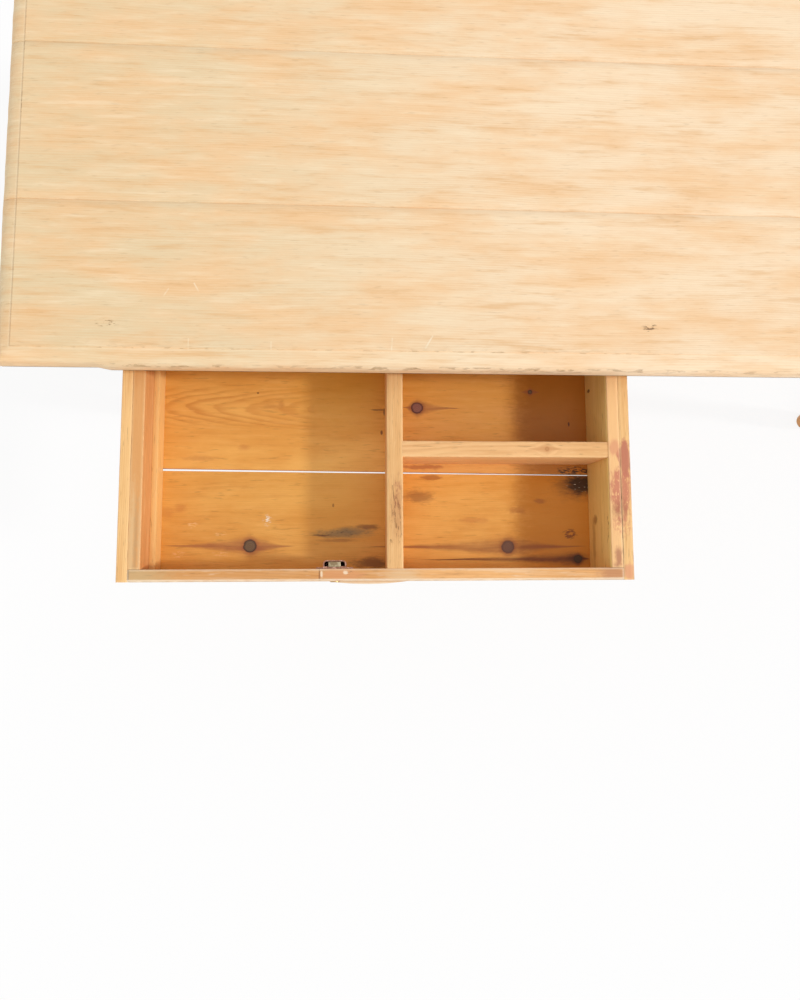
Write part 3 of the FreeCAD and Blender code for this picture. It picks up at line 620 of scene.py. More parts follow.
    def _knotted(
        self, graph: Graph, tone: Value, knot: Knot, axes: Sequence[Value], noises: Sequence[Value],
    ) -> Value:
        """Lays a knot and its resin streak over the wood.

        Args:
            graph: The tree.
            tone: The wood's colour.
            knot: The knot.
            axes: The place on the table.
            noises: Noise that bends it, that roughens its outline and that parts its flame into strands.

        Returns:
            The colour with the knot.
        """
        ripple, ragged, strand = noises
        run, side = self._from_knot(knot, axes)
        side = side + ripple * knot.radius * 0.55
        near = (1.0 - (-(run / knot.before)).most(run / knot.after)).held()
        half = near ** 2.6 * knot.radius * knot.width + near * 0.0040 + 0.0001
        flame = (1.0 - (abs(side) / half + ragged * 0.5).rise(0.0, 1.1)) * near.rise(0.0, 0.15)
        tone = graph.mix((flame * (0.2 + strand * 1.3)).held() * knot.depth, tone, knot.streak)
        away = (run * run + side * side).root() / knot.radius + ripple * 0.35 + ragged * 0.35
        halo = 1.0 - away.rise(0.9, 1.6)
        tone = graph.mix(halo * 0.55, tone, knot.streak)
        tone = graph.mix(1.0 - away.rise(0.80, 1.05), tone, knot.ring)
        tone = graph.mix((1.0 - away.rise(0.58, 0.88)) * 0.9, tone, knot.heart)
        years = (away * 4.5).part().rise(0.3, 0.9) * (1.0 - away.rise(0.7, 0.9))
        return graph.mix(years * 0.35, tone, knot.ring)

    @staticmethod
    def _patch(stain: Stain, axes: Sequence[Value], ragged: Value, specks: Value) -> Value:
        """How strongly a stain covers each place.

        Args:
            stain: The stain.
            axes: The place on the table.
            ragged: Noise for its edge.
            specks: Fine noise that breaks it up.

        Returns:
            Its cover, 0 to 1.
        """
        total: Value | float = 0.0
        for axis, middle, half in zip(axes, stain.centre, stain.half):
            if middle is not None:
                share = (axis - middle) / half
                total = share * share + total
        edge = total.root() + ragged * 2.4 * stain.ragged
        cover = (1.0 - edge.rise(1.0 - stain.soft, 1.0 + stain.soft)) * stain.depth
        return cover if stain.sparse is None else cover * specks.rise(stain.sparse, stain.sparse + 0.08)

    @staticmethod
    def _line(scratch: Scratch, axes: Sequence[Value], ragged: Value) -> Value:
        """How strongly a scratch shows at each place.

        Args:
            scratch: The scratch.
            axes: The place on the table.
            ragged: Noise that breaks it up.

        Returns:
            Its cover, 0 to 1.
        """
        reach = (scratch.end[0] - scratch.start[0], scratch.end[1] - scratch.start[1])
        length = math.hypot(*reach)
        x, y = axes[0] - scratch.start[0], axes[1] - scratch.start[1]
        share = ((x * (reach[0] / length) + y * (reach[1] / length)) / length).held()
        off_x, off_y = x - share * reach[0], y - share * reach[1]
        off = (off_x * off_x + off_y * off_y).root() / (scratch.width / 2) + ragged * 1.2
        return (1.0 - off.rise(0.5, 1.3)) * (0.35 + ragged.rise(-0.10, 0.08) * 0.65) * scratch.depth


@dataclass(frozen=True)
class Metal:
    """Old metal with a skin of rust or tarnish.

    Attributes:
        name: Name of the finish.
        bare: Colour of the clean metal.
        skin: Colour of its rust or tarnish.
        cover: How much of it the skin covers, 0 to 1.
        polish: Roughness of the clean metal.
    """

    name: str
    bare: Colour
    skin: Colour
    cover: float = 0.5
    polish: float = 0.35

    def material(self) -> bpy.types.Material:
        """Builds the finish as nodes.

        Returns:
            The material.
        """
        graph = Graph(self.name)
        place = graph.apart(graph.node("ShaderNodeTexCoord", out="Object"))
        coarse, fine, brushed = (graph.mottled(place, each) for each in (COARSE, FINE, BRUSHED))
        skin = (coarse + (fine - 0.5) * 0.5 + (self.cover - 0.5)).rise(0.38, 0.62)
        tone = graph.mix(brushed.rise(0.35, 0.8) * 0.25, self.bare, self.skin)
        tone = graph.mix(skin, tone, self.skin)
        tone = graph.mix((fine.rise(0.55, 0.8) * skin) * 0.4, tone, tuple(part * 0.45 for part in self.skin))
        sheen = self.polish + skin * 0.4 + brushed * 0.1
        graph.surface(
            {"Base Color": tone, "Metallic": 0.9 - skin * 0.75, "Roughness": sheen},
            bump=fine * 0.6 + coarse * 0.4, height=0.0002, lift=0.3,
        )
        return graph.material


class Kind(Enum):
    """What a selection holds, with the matching select mode."""

    POINT = (True, False, False)
    EDGE = (False, True, False)
    FACE = (False, False, True)


class Workpiece:
    """A piece on the bench, with the shop's operations on its mesh as methods."""

    def __init__(self, obj: bpy.types.Object) -> None:
        """Takes hold of a mesh object."""
        self.obj = obj

    @property
    def mesh(self) -> bpy.types.Mesh:
        """The piece's mesh."""
        return self.obj.data

    @property
    def points(self) -> list[Vector]:
        """Where the mesh's points lie."""
        return [vertex.co for vertex in self.mesh.vertices]

    @staticmethod
    def clear_bench() -> None:
        """Lets go of everything."""
        bpy.ops.object.select_all(action="DESELECT")

    @classmethod
    def _taken(cls, name: str) -> Workpiece:
        """Names the new primitive and puts its place into its mesh.

        Args:
            name: Its name.

        Returns:
            The piece.
        """
        obj = bpy.context.active_object
        obj.name = obj.data.name = name
        bpy.ops.object.transform_apply(location=True, rotation=True, scale=True)
        return cls(obj)

    @classmethod
    def block(cls, name: str, low: Sequence[float], high: Sequence[float]) -> Workpiece:
        """Starts from a block.

        Args:
            name: Name of the piece.
            low: Its lowest corner.
            high: Its highest corner.

        Returns:
            The block.
        """
        cls.clear_bench()
        low, high = Vector(low), Vector(high)
        bpy.ops.mesh.primitive_cube_add(size=1.0, location=(low + high) / 2, scale=high - low)
        return cls._taken(name)

    @classmethod
    def rod(
        cls, name: str, middle: Sequence[float], radius: float, length: float, turn: Triple, sides: int = 24,
    ) -> Workpiece:
        """Starts from a round rod.

        Args:
            name: Name of the piece.
            middle: Its middle.
            radius: Its radius.
            length: Its length.
            turn: How it is turned from upright.
            sides: How many flats go round it.

        Returns:
            The rod.
        """
        cls.clear_bench()
        bpy.ops.mesh.primitive_cylinder_add(
            vertices=sides, radius=radius, depth=length, location=middle, rotation=turn,
        )
        return cls._taken(name)

    def hold(self) -> None:
        """Makes this the one piece that operators act on."""
        self.clear_bench()
        self.obj.select_set(True)
        bpy.context.view_layer.objects.active = self.obj

    def pick(self, kind: Kind, test: Callable[..., bool]) -> int:
        """Selects what passes a test.

        Args:
            kind: Points, edges or faces.
            test: Takes a point, an edge's two ends, or a face's middle and normal.

        Returns:
            How many were picked.
        """
        mesh, points = self.mesh, self.points
        if kind is Kind.POINT:
            chosen = [test(point) for point in points]
        elif kind is Kind.EDGE:
            chosen = [test(points[edge.vertices[0]], points[edge.vertices[1]]) for edge in mesh.edges]
        else:
            chosen = [test(face.center, face.normal) for face in mesh.polygons]
        for each, items in ((Kind.POINT, mesh.vertices), (Kind.EDGE, mesh.edges), (Kind.FACE, mesh.polygons)):
            items.foreach_set("select", chosen if each is kind else [False] * len(items))
        return sum(chosen)

    def run(self, kind: Kind, operator: Callable[..., set[str]], **settings: object) -> Workpiece:
        """Runs an edit operator on what is picked.

        Args:
            kind: What the selection holds.
            operator: The operator.
            settings: Its settings.

        Returns:
            The piece.
        """
        self.hold()
        bpy.context.tool_settings.mesh_select_mode = kind.value
        bpy.ops.object.mode_set(mode="EDIT")
        operator(**settings)
        bpy.ops.object.mode_set(mode="OBJECT")
        return self

    def ease(self, test: EdgeTest, width: float, segments: int = 2) -> Workpiece:
        """Rounds the edges that pass a test.

        Args:
            test: Which edges.
            width: How far the rounding reaches.
            segments: How many facets it has.

        Returns:
            The piece.
        """
        if self.pick(Kind.EDGE, test):
            self.run(Kind.EDGE, bpy.ops.mesh.bevel, offset=width, segments=segments, affect="EDGES")
        return self

    def divide(self, axis: int, step: float) -> Workpiece:
        """Divides the long edges along an axis.

        Args:
            axis: The axis.
            step: About how far apart the cuts are.

        Returns:
            The piece.
        """
        def span(start: Vector, end: Vector) -> float:
            """How far an edge runs along the axis, 0 if it mostly runs another way."""
            run = abs(end[axis] - start[axis])
            return run if run > 0.98 * (end - start).length else 0.0

        points = self.points
        longest = max(span(points[edge.vertices[0]], points[edge.vertices[1]]) for edge in self.mesh.edges)
        cuts = round(longest / step)
        if cuts > 0 and self.pick(Kind.EDGE, lambda start, end: span(start, end) > 0.8 * longest):
            self.run(Kind.EDGE, bpy.ops.mesh.subdivide, number_cuts=cuts)
        return self

    def slice(self, axis: int, places: Iterable[float]) -> Workpiece:
        """Cuts lines round the piece, square to an axis.

        Args:
            axis: The axis.
            places: Where along it the lines run.

        Returns:
            The piece.
        """
        normal = tuple(1.0 if index == axis else 0.0 for index in range(3))
        for place in places:
            self.pick(Kind.FACE, lambda middle, facing: True)
            point = tuple(place if index == axis else 0.0 for index in range(3))
            self.run(Kind.FACE, bpy.ops.mesh.bisect, plane_co=point, plane_no=normal, threshold=TINY)
        return self

    def nudge(self, test: PointTest, offset: Triple) -> Workpiece:
        """Moves the points that pass a test.

        Args:
            test: Which points.
            offset: How far.

        Returns:
            The piece.
        """
        if self.pick(Kind.POINT, test):
            self.run(Kind.POINT, bpy.ops.transform.translate, value=offset)
        return self

    def hollow(self, test: FaceTest, wall: float, depth: Triple) -> Workpiece:
        """Insets the faces that pass a test and sinks them.

        Args:
            test: Which faces.
            wall: How wide a rim is left.
            depth: How far they sink, as a vector.

        Returns:
            The piece.
        """
        self.pick(Kind.FACE, test)
        self.run(Kind.FACE, bpy.ops.mesh.inset, thickness=wall, depth=0.0)
        return self.run(Kind.FACE, bpy.ops.mesh.extrude_region_move, TRANSFORM_OT_translate={"value": depth})

    def cut(self, tool: Workpiece, way: str = "DIFFERENCE") -> Workpiece:
        """Cuts another piece's shape out of this one, or merges it in, and clears that piece away.

        Args:
            tool: The other piece.
            way: DIFFERENCE to cut, UNION to merge.

        Returns:
            The piece.
        """
        knife = self.obj.modifiers.new("cut", "BOOLEAN")
        knife.operation, knife.solver, knife.object = way, "EXACT", tool.obj
        self.hold()
        bpy.ops.object.modifier_apply(modifier=knife.name)
        bpy.data.objects.remove(tool.obj)
        return self

    def join(self, *others: Workpiece) -> Workpiece:
        """Makes other pieces part of this one.

        Args:
            others: The other pieces.

        Returns:
            The piece.
        """
        self.hold()
        for other in others:
            other.obj.select_set(True)
        bpy.ops.object.join()
        return self

    def clean(self) -> Workpiece:
        """Takes out faces and edges that have no size."""
        self.pick(Kind.FACE, lambda middle, facing: True)
        return self.run(Kind.FACE, bpy.ops.mesh.dissolve_degenerate, threshold=TINY)

    def dent(
        self, weight: Callable[[Vector], float], depth: float, size: float, bite: float = 2.0,
    ) -> Workpiece:
        """Knocks dents into the piece, and marks them as pits that hold dirt.

        Args:
            weight: How far each point takes part, 0 to 1.
            depth: How deep the dents go at most.
            size: About how large they are.
            bite: Contrast between whole and dented stretches.

        Returns:
            The piece.
        """
        before = [point.copy() for point in self.points]
        group = self.obj.vertex_groups.new(name="dented")
        for index, point in enumerate(before):
            share = weight(point)
            if share > 0:
                group.add([index], share, "REPLACE")
        lumps = bpy.data.textures.new("lumps", "CLOUDS")
        lumps.noise_scale, lumps.noise_depth, lumps.contrast = size, 2, bite
        shaper = self.obj.modifiers.new("dents", "DISPLACE")
        shaper.texture, shaper.texture_coords, shaper.vertex_group = lumps, "LOCAL", group.name
        shaper.mid_level, shaper.strength = 1.0, depth
        self.hold()
        bpy.ops.object.modifier_apply(modifier=shaper.name)
        self.obj.vertex_groups.clear()
        found = self.mesh.attributes.get("grime")
        pits = [item.value for item in found.data] if found else [0.0] * len(before)
        moved = [min((point - old).length / depth, 1.0) for point, old in zip(self.points, before)]
        return self.mark("grime", [max(pit, 1.4 * move - 0.6) for pit, move in zip(pits, moved)])

    def mark(self, name: str, values: Sequence[float]) -> Workpiece:
        """Sets a number on every point.

        Args:
            name: The mark's name.
            values: The numbers, in the order of the points.

        Returns:
            The piece.
        """
        layer = self.mesh.attributes.get(name) or self.mesh.attributes.new(name, "FLOAT", "POINT")
        layer.data.foreach_set("value", values)
        return self

    def root_in(self, heart: Triple) -> Workpiece:
        """Marks where the heart of the log runs, for the rings.

        Args:
            heart: Its place across the board, through it and along it.

        Returns:
            The piece.
        """
        layer = self.mesh.attributes.new("heart", "FLOAT_VECTOR", "POINT")
        layer.data.foreach_set("vector", list(heart) * len(self.mesh.vertices))
        return self

    def smooth(self, angle: float = 40.0) -> Workpiece:
        """Shades the piece smooth, with sharp edges kept sharp.

        Args:
            angle: The angle in degrees from which an edge is sharp.

        Returns:
            The piece.
        """
        self.hold()
        bpy.ops.object.shade_smooth_by_angle(angle=math.radians(angle))
        return self

    def fit(self, material: bpy.types.Material, body: str, slot: str, *nodes: str) -> Workpiece:
        """Dresses the piece and puts it on its body.

        Args:
            material: Its finish.
            body: The body that it moves with.
            slot: The record's slot of its finish; not used.
            nodes: The solids that it stands for.

        Returns:
            The piece.
        """
        self.mesh.materials.clear()
        self.mesh.materials.append(material)
        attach(self.obj, body)
        if nodes:
            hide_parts(*nodes)
        LOG.info("%s: on %s, for %s", self.obj.name, body, ", ".join(nodes) or "nothing")
        return self


@dataclass
class Paints:
    """The finishes in use, each built once."""

    made: dict[str, bpy.types.Material] = field(default_factory=dict)

    def of(self, finish: Pine | Metal) -> bpy.types.Material:
        """The material of a finish.

        Args:
            finish: The finish.

        Returns:
            Its material.
        """
        if finish.name not in self.made:
            self.made[finish.name] = finish.material()
        return self.made[finish.name]

    def dress(self, solid: bpy.types.Object, finish: Pine | Metal) -> None:
        """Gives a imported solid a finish.

        Args:
            solid: The solid.
            finish: The finish.
        """
        solid.data.materials.clear()
        solid.data.materials.append(self.of(finish))
        LOG.info("%s: finished in %s", solid.name, finish.name)


@dataclass(frozen=True)
class Tenon:
    """What is left at each end of a board to enter another piece.

    Attributes:
        length: How far it reaches.
        across: Its width, across the board.
        through: Its thickness, through the board.
        flare: How far each edge of its tip stands out, as on a dovetail.
    """

    length: float
    across: float
    through: float
    flare: float = 0.0


@dataclass
class Board:
    """A sawn board with eased arrises that years of use have dented.

    Attributes:
        node: The solid that it stands for.
        body: The body that it moves with.
        slot: The record's slot of its finish.
        finish: Its wood.
        paints: The finishes in use.
        arris: How far its arrises are eased.
        knocks: Depth of the dents along its arrises.
        knock_size: About how large those dents are.
        step: Distance between the cuts along it.
        worn: How far the wear reaches from its arrises.
        heart: Where the heart of the log runs: across, through and along.
        slants: Points to move before the arrises are eased, and how far.
        rubs: Edges that are eased first, and how far.
        tenon: The tenon at each end, if there is one.
        mortises: Boxes that are cut out for the tenons of other boards.
        root: How far a tenon's box starts inside its board.
    """

    node: str
    body: str
    slot: str
    finish: Pine
    paints: Paints
    arris: float = 0.0012
    knocks: float = 0.0006
    knock_size: float = 0.007
    step: float = 0.006
    worn: float = 0.003
    heart: Triple | None = None
    slants: tuple[tuple[PointTest, Triple], ...] = ()
    rubs: tuple[tuple[EdgeTest, float], ...] = ()
    tenon: Tenon | None = None
    mortises: tuple[Box, ...] = ()
    root: float = 0.002

    def __post_init__(self) -> None:
        """Takes the board's size from its solid, from shoulder to shoulder."""
        self.low, self.high = (Vector(corner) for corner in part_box(self.node))
        if self.tenon:
            run = self.finish.grain.value[0]
            self.low[run] += self.tenon.length
            self.high[run] -= self.tenon.length

    def tenons(self, play: float = 0.0) -> list[Box]:
        """The boxes of the tenons at the board's ends.

        Args:
            play: How much larger they are on every side, for the mortises.

        Returns:
            The lowest and highest corner of each.
        """
        found = []
        for shoulder, way in ((self.low, -1.0), (self.high, 1.0)) if self.tenon else ():
            run, side, deep = self.finish.grain.value
            low, high = (self.low + self.high) / 2, (self.low + self.high) / 2
            for axis, size in ((side, self.tenon.across), (deep, self.tenon.through)):
                low[axis] -= size / 2 + play
                high[axis] += size / 2 + play
            ends = shoulder[run] - way * self.root, shoulder[run] + way * (self.tenon.length + play)
            low[run], high[run] = sorted(ends)
            found.append((low, high))
        return found

    def takes(self, box: Box) -> bool:
        """Whether the middle of a box lies inside the board."""
        middle = (box[0] + box[1]) / 2
        return all(self.low[axis] < middle[axis] < self.high[axis] for axis in range(3))

    def nearness(self, point: Vector) -> float:
        """How near a point lies to an arris, 1 on it.

        Args:
            point: The point.

        Returns:
            The share.
        """
        gaps = sorted(min(point[axis] - self.low[axis], self.high[axis] - point[axis]) for axis in range(3))
        return easing(1.0 - math.hypot(max(gaps[0], 0.0), max(gaps[1], 0.0)) / self.worn)

    def log_heart(self) -> Triple:
        """Where the heart of the log runs, its own for every board.

        Returns:
            Its place across the board, through it and along it.
        """
        if self.heart is not None:
            return self.heart
        luck = random.Random(self.node)
        run, side, deep = self.finish.grain.value
        width, thick = self.high[side] - self.low[side], self.high[deep] - self.low[deep]
        return (
            (self.low[side] + self.high[side]) / 2 + luck.uniform(-0.8, 0.8) * width,
            self.low[deep] - luck.uniform(0.3, 1.5) * max(thick, 0.3 * width),
            luck.uniform(self.low[run], self.high[run]),
        )

    def shape(self) -> Workpiece:
        """Models the board: block, slants, eased arrises, cuts where the wear ends and along it.

        Returns:
            The piece, not yet dressed.
        """
        piece = Workpiece.block(f"{self.node}.wood", self.low, self.high)
        for test, offset in self.slants:
            piece.nudge(test, offset)
        for test, width in self.rubs:
            piece.ease(test, width, 3)
        piece.ease(lambda start, end: (end - start).length > 2.5 * self.arris, self.arris)
        for axis in range(3):
            if self.high[axis] - self.low[axis] > 2.2 * self.worn:
                piece.slice(axis, (self.low[axis] + self.worn, self.high[axis] - self.worn))
        run, side, _ = self.finish.grain.value
        piece.divide(run, self.step)
        for low, high in self.tenons():
            tongue = Workpiece.block("tenon", low, high)
            middle = (low + high) / 2
            for way in (-1.0, 1.0) if self.tenon.flare else ():
                offset = Vector()
                offset[side] = way * self.tenon.flare
                tongue.nudge(
                    lambda point, way=way: (point[side] - middle[side]) * way > 0
                    and not self.low[run] - NEAR < point[run] < self.high[run] + NEAR, tuple(offset),
                )
            piece.cut(tongue, "UNION")
        for low, high in self.mortises:
            piece.cut(Workpiece.block("mortise", low, high))
        return piece

    def dress(self, piece: Workpiece) -> Workpiece:
        """Dents the arrises, marks the wear and puts the board in its place.

        Args:
            piece: The modelled board.

        Returns:
            The finished piece.
        """
        piece.mark("wear", [self.nearness(point) for point in piece.points])
        if self.knocks:
            piece.dent(self.nearness, self.knocks, self.knock_size)
        piece.root_in(self.log_heart()).smooth()
        return piece.fit(self.paints.of(self.finish), self.body, self.slot, self.node)

    def build(self) -> Workpiece:
        """Models and dresses the board."""
        return self.dress(self.shape())


HONEY = Pine(
    "frame_pine_x", Grain.X_UPRIGHT, tint(226, 170, 104), tint(176, 108, 50), tint(208, 146, 82),
    ring=0.003, lines=0.5, streaks=0.4, patches=0.55,
)
INNER = replace(
    HONEY, name="inner_pine_y", grain=Grain.Y_FLAT, pale=tint(206, 158, 104), deep=tint(150, 100, 54),
    warm=tint(180, 130, 80), worn=tint(222, 180, 130), flecks=0.45, rough=0.7, relief=0.6,
)
DRAWER = Pine(
    "drawer_side_pine", Grain.Y_UPRIGHT, tint(251, 205, 141), tint(218, 156, 92), tint(242, 190, 124),
    worn=tint(252, 214, 158), ring=0.0022, lines=0.4, streaks=0.4, dash=9.0, patches=0.55, rubbed=0.4,
    grime=0.4,
)
LINING = replace(
    DRAWER, name="drawer_lining_pine", pale=tint(230, 167, 105), deep=tint(194, 122, 64),
    warm=tint(218, 152, 90),
    stains=(
        Stain((None, None, RIM), (1, 1, 0.0012), tint(229, 168, 104), 0.7, 0.3, 0.6),
        Stain((-0.6250, -0.5900, RIM), (0.0030, 0.060, 0.003), tint(232, 194, 142), 0.7, 1.2, 0.8),
        Stain((-0.6205, -0.6050, RIM), (0.0022, 0.050, 0.003), tint(192, 150, 104), 0.6, 1.4, 0.8),
        Stain((-0.6165, -0.5850, RIM), (0.0016, 0.055, 0.003), tint(222, 178, 128), 0.6, 1.4, 0.8),
    ),
)
# Near-white worn colour: on the rubbed outer arris it is partly wear and partly painted highlight; on the
# inner top arris it is painted highlight.
FRONT = replace(
    DRAWER, name="drawer_front_pine", grain=Grain.X_UPRIGHT, pale=tint(223, 163, 100),
    deep=tint(192, 126, 68), warm=tint(214, 152, 90), worn=tint(252, 232, 202), rubbed=0.8, grime=0.15,
)
PULL = replace(
    FRONT, name="pull_pine", pale=tint(220, 178, 130), warm=tint(210, 162, 112), deep=tint(190, 138, 88),
)
FLOOR = Pine(
    "drawer_floor_pine", Grain.X_FLAT, tint(243, 180, 92), tint(197, 119, 44), tint(228, 158, 71),
    worn=tint(247, 188, 108), ring=0.0026, taper=0.05, wander=0.012, lines=0.15, streaks=0.34, dash=12.0,
    patches=0.95, flecks=0.26, rough=0.45, dirt=tint(120, 70, 26),
)
SIDE_STAINS = (
    Stain((-0.0290, -0.4890, RIM), (0.0085, 0.023, 0.012), tint(190, 110, 90), 0.86, 0.55, 0.2),
    Stain((-0.0420, -0.4740, RIM), (0.0070, 0.009, 0.012), tint(222, 148, 112), 0.65, 0.6, 0.4),
    Stain((-0.0355, -0.5310, RIM), (0.0120, 0.032, 0.012), tint(202, 120, 96), 0.84, 0.7, 0.3, -0.15),
    Stain((-0.0380, -0.5520, RIM), (0.0095, 0.012, 0.012), tint(166, 104, 72), 0.6, 0.8, 0.6),
    Stain((-0.0360, -0.5690, RIM), (0.0110, 0.014, 0.012), tint(212, 134, 104), 0.55, 0.8, 0.4, -0.05),
    Stain((-0.0405, -0.6110, RIM), (0.0055, 0.012, 0.010), tint(166, 100, 78), 0.7, 0.9, 0.6),
    Stain((-0.0270, -0.6270, RIM), (0.0080, 0.010, 0.012), tint(222, 144, 114), 0.6, 0.6, 0.3),
    Stain((-0.0349, -0.5620, RIM), (0.0007, 0.066, 0.012), tint(112, 60, 36), 0.85, 0.2, 0.5),
)
STAINED_LINING = replace(
    DRAWER, name="stained_lining_pine", pale=tint(240, 206, 124), warm=tint(230, 190, 106),
    stains=(Stain((None, None, RIM), (1, 1, 0.0012), tint(252, 198, 142), 0.8, 0.0, 0.3), *SIDE_STAINS),
)
STAINED_SIDE = replace(DRAWER, name="stained_side_pine", stains=SIDE_STAINS)
SLIP = replace(
    DRAWER, name="slip_pine", pale=tint(246, 198, 127), warm=tint(240, 188, 116),
    deep=tint(228, 170, 100), lines=0.25, streaks=0.25, rubbed=0.0,
)
SCUFF = tint(112, 70, 36)
DIVIDER = replace(
    DRAWER, name="divider_pine", pale=tint(241, 191, 130), warm=tint(230, 176, 112),
    deep=tint(204, 142, 82),
    scratches=tuple(
        Scratch((left, start), (right, end), width, SCUFF, depth)
        for left, start, right, end, width, depth in (
            (-0.3170, -0.522, -0.3150, -0.540, 0.0016, 0.5),
            (-0.3120, -0.536, -0.3096, -0.551, 0.0014, 0.6),
            (-0.3090, -0.545, -0.3076, -0.562, 0.0016, 0.55),
            (-0.3185, -0.545, -0.3178, -0.560, 0.0013, 0.5),
            (-0.3140, -0.562, -0.3126, -0.573, 0.0022, 0.5),
            (-0.3195, -0.588, -0.3185, -0.590, 0.0026, 0.7),
            (-0.3076, -0.566, -0.3066, -0.581, 0.0014, 0.5),
            (-0.3152, -0.550, -0.3140, -0.558, 0.0012, 0.5),
        )
    ),
    stains=(
        flat_stain(-0.3110, -0.5520, 0.0070, 0.034, tint(176, 112, 66), 0.4, 0.6, 0.7),
        flat_stain(-0.3115, -0.5540, 0.0075, 0.036, tint(122, 76, 40), 0.6, 0.7, 0.5, 0.06),
        flat_stain(-0.3100, -0.5300, 0.0060, 0.020, tint(188, 116, 84), 0.4, 0.7, 0.6, -0.02),
    ),
)
CROSS = replace(
    DIVIDER, name="cross_divider_pine", grain=Grain.X_UPRIGHT, pale=tint(247, 195, 137), scratches=(),
    stains=(), knots=(Knot(
        (-0.126, -0.4760, None), 0.0028, 0.026, 0.020, 2.2, tint(196, 132, 80), tint(206, 150, 96),
        tint(210, 150, 96), 0.8,
    ),),
)
STRIP = replace(
    DRAWER, name="tapered_strip_pine", pale=tint(245, 211, 134), warm=tint(233, 194, 113),
    deep=tint(200, 154, 84), lines=0.3, patches=0.7, rubbed=0.0,
    stains=(
        Stain((None, -0.5610, 0.6790), (1, 0.0060, 0.005), tint(140, 96, 46), 0.7, 0.8, 0.5),
        Stain((None, -0.5880, 0.6740), (1, 0.0300, 0.004), tint(160, 112, 56), 0.5, 0.7, 0.6),
        Stain((None, -0.5700, 0.7160), (1, 0.0140, 0.003), tint(96, 62, 30), 0.6, 0.9, 0.4, 0.0),
        Stain((None, -0.3900, 0.6700), (1, 0.0022, 0.004), tint(60, 40, 20), 0.8, 0.6, 0.3),
    ),
)
BURNT, BROWN, RUST = tint(46, 31, 21), tint(130, 76, 40), tint(160, 82, 42)
FLOOR_FRONT = replace(
    FLOOR, name="drawer_floor_front", taper=0.01,
    knots=(
        Knot((-0.4962, -0.5930, None), 0.0090, 0.118, 0.060, 1.6),
        Knot(
            (-0.1642, -0.5945, None), 0.0094, 0.200, 0.110, 1.5, tint(92, 58, 44), tint(116, 80, 62),
            tint(140, 74, 42), 0.75,
        ),
        Knot(
            (-0.0722, -0.6105, None), 0.0060, 0.220, 0.016, 1.3, tint(52, 34, 22), tint(80, 60, 40),
            tint(104, 48, 26),
        ),
    ),
    painted_shade=(
        # Painted shadow: the right wall's shadow darkening the right compartment's floor.
        flat_stain(-0.0400, -0.5550, 0.113, 0.160, tint(197, 120, 28), 0.82, 0.12, 0.22),
        # Painted shade: a warmer, darker tint where the divider's shadow falls on the left compartment's
        # floor.
        flat_stain(-0.3650, -0.5500, 0.062, 0.060, tint(222, 150, 56), 0.5, 0.2, 0.9),
    ),
    stains=(
        flat_stain(-0.4752, -0.5590, 0.0050, 0.0055, tint(250, 236, 214), 0.9, 1.2, 0.4, 0.0),
        flat_stain(-0.3800, -0.5770, 0.030, 0.0050, tint(132, 108, 76), 0.75, 0.6, 0.7),
        flat_stain(-0.3650, -0.5730, 0.020, 0.0040, tint(126, 104, 76), 0.6, 0.6, 0.7),
        flat_stain(-0.3800, -0.5765, 0.030, 0.0045, tint(84, 64, 44), 0.6, 0.9, 0.4, 0.06),
        flat_stain(-0.4070, -0.5794, 0.010, 0.0014, tint(96, 58, 34), 0.7, 0.8, 0.5),
        flat_stain(-0.3850, -0.5860, 0.024, 0.0018, tint(150, 84, 40), 0.5, 0.7, 0.6),
        flat_stain(-0.3446, -0.5685, 0.013, 0.0028, tint(122, 68, 38), 0.7, 0.7, 0.5),
        flat_stain(-0.3400, -0.6150, 0.022, 0.0070, tint(112, 64, 32), 0.75, 0.7, 0.6),
        flat_stain(-0.5845, -0.5440, 0.007, 0.0040, tint(204, 126, 58), 0.5, 1.0, 0.8),
        flat_stain(-0.6010, -0.5510, 0.008, 0.0060, tint(206, 128, 60), 0.45, 1.0, 0.8),
        flat_stain(-0.5690, -0.5656, 0.005, 0.0040, tint(250, 202, 140), 0.6, 1.0, 0.4, 0.0),
        flat_stain(-0.5342, -0.5770, 0.007, 0.0030, tint(250, 200, 136), 0.5, 1.0, 0.4, 0.0),
        flat_stain(-0.5850, -0.6025, 0.008, 0.0040, tint(248, 190, 126), 0.5, 1.0, 0.4, 0.0),
        flat_stain(-0.5337, -0.6027, 0.009, 0.0035, tint(248, 190, 126), 0.5, 1.0, 0.4, 0.0),
        flat_stain(-0.3909, -0.5410, 0.0014, 0.0022, tint(140, 84, 36), 0.7, 0.5),
        flat_stain(-0.1520, -0.5470, 0.010, 0.0040, tint(176, 100, 42), 0.5, 0.8, 0.6),
        flat_stain(-0.2120, -0.5600, 0.020, 0.0030, tint(196, 116, 52), 0.5, 0.8, 0.6),
        flat_stain(-0.1200, -0.5350, 0.008, 0.0030, tint(150, 84, 40), 0.55, 0.8, 0.6),
        flat_stain(-0.0735, -0.6110, 0.015, 0.0060, tint(74, 46, 28), 0.6, 0.4, 0.9),
        flat_stain(-0.2810, -0.5295, 0.017, 0.007, BROWN, 0.55, 0.8, 0.6),
        flat_stain(-0.2640, -0.5040, 0.014, 0.003, RUST, 0.6, 0.8, 0.4),
        flat_stain(-0.0690, -0.5130, 0.026, 0.016, tint(116, 72, 34), 0.75, 0.6, 0.7),
        flat_stain(-0.0640, -0.5130, 0.019, 0.012, BURNT, 0.9, 0.6, 0.45),
        flat_stain(-0.0640, -0.5130, 0.018, 0.011, tint(226, 216, 200), 0.85, 0.5, 0.4, 0.13),
        flat_stain(-0.0820, -0.5770, 0.0075, 0.0065, tint(96, 42, 28), 0.75, 1.0, 0.3, -0.06),
    ),
)
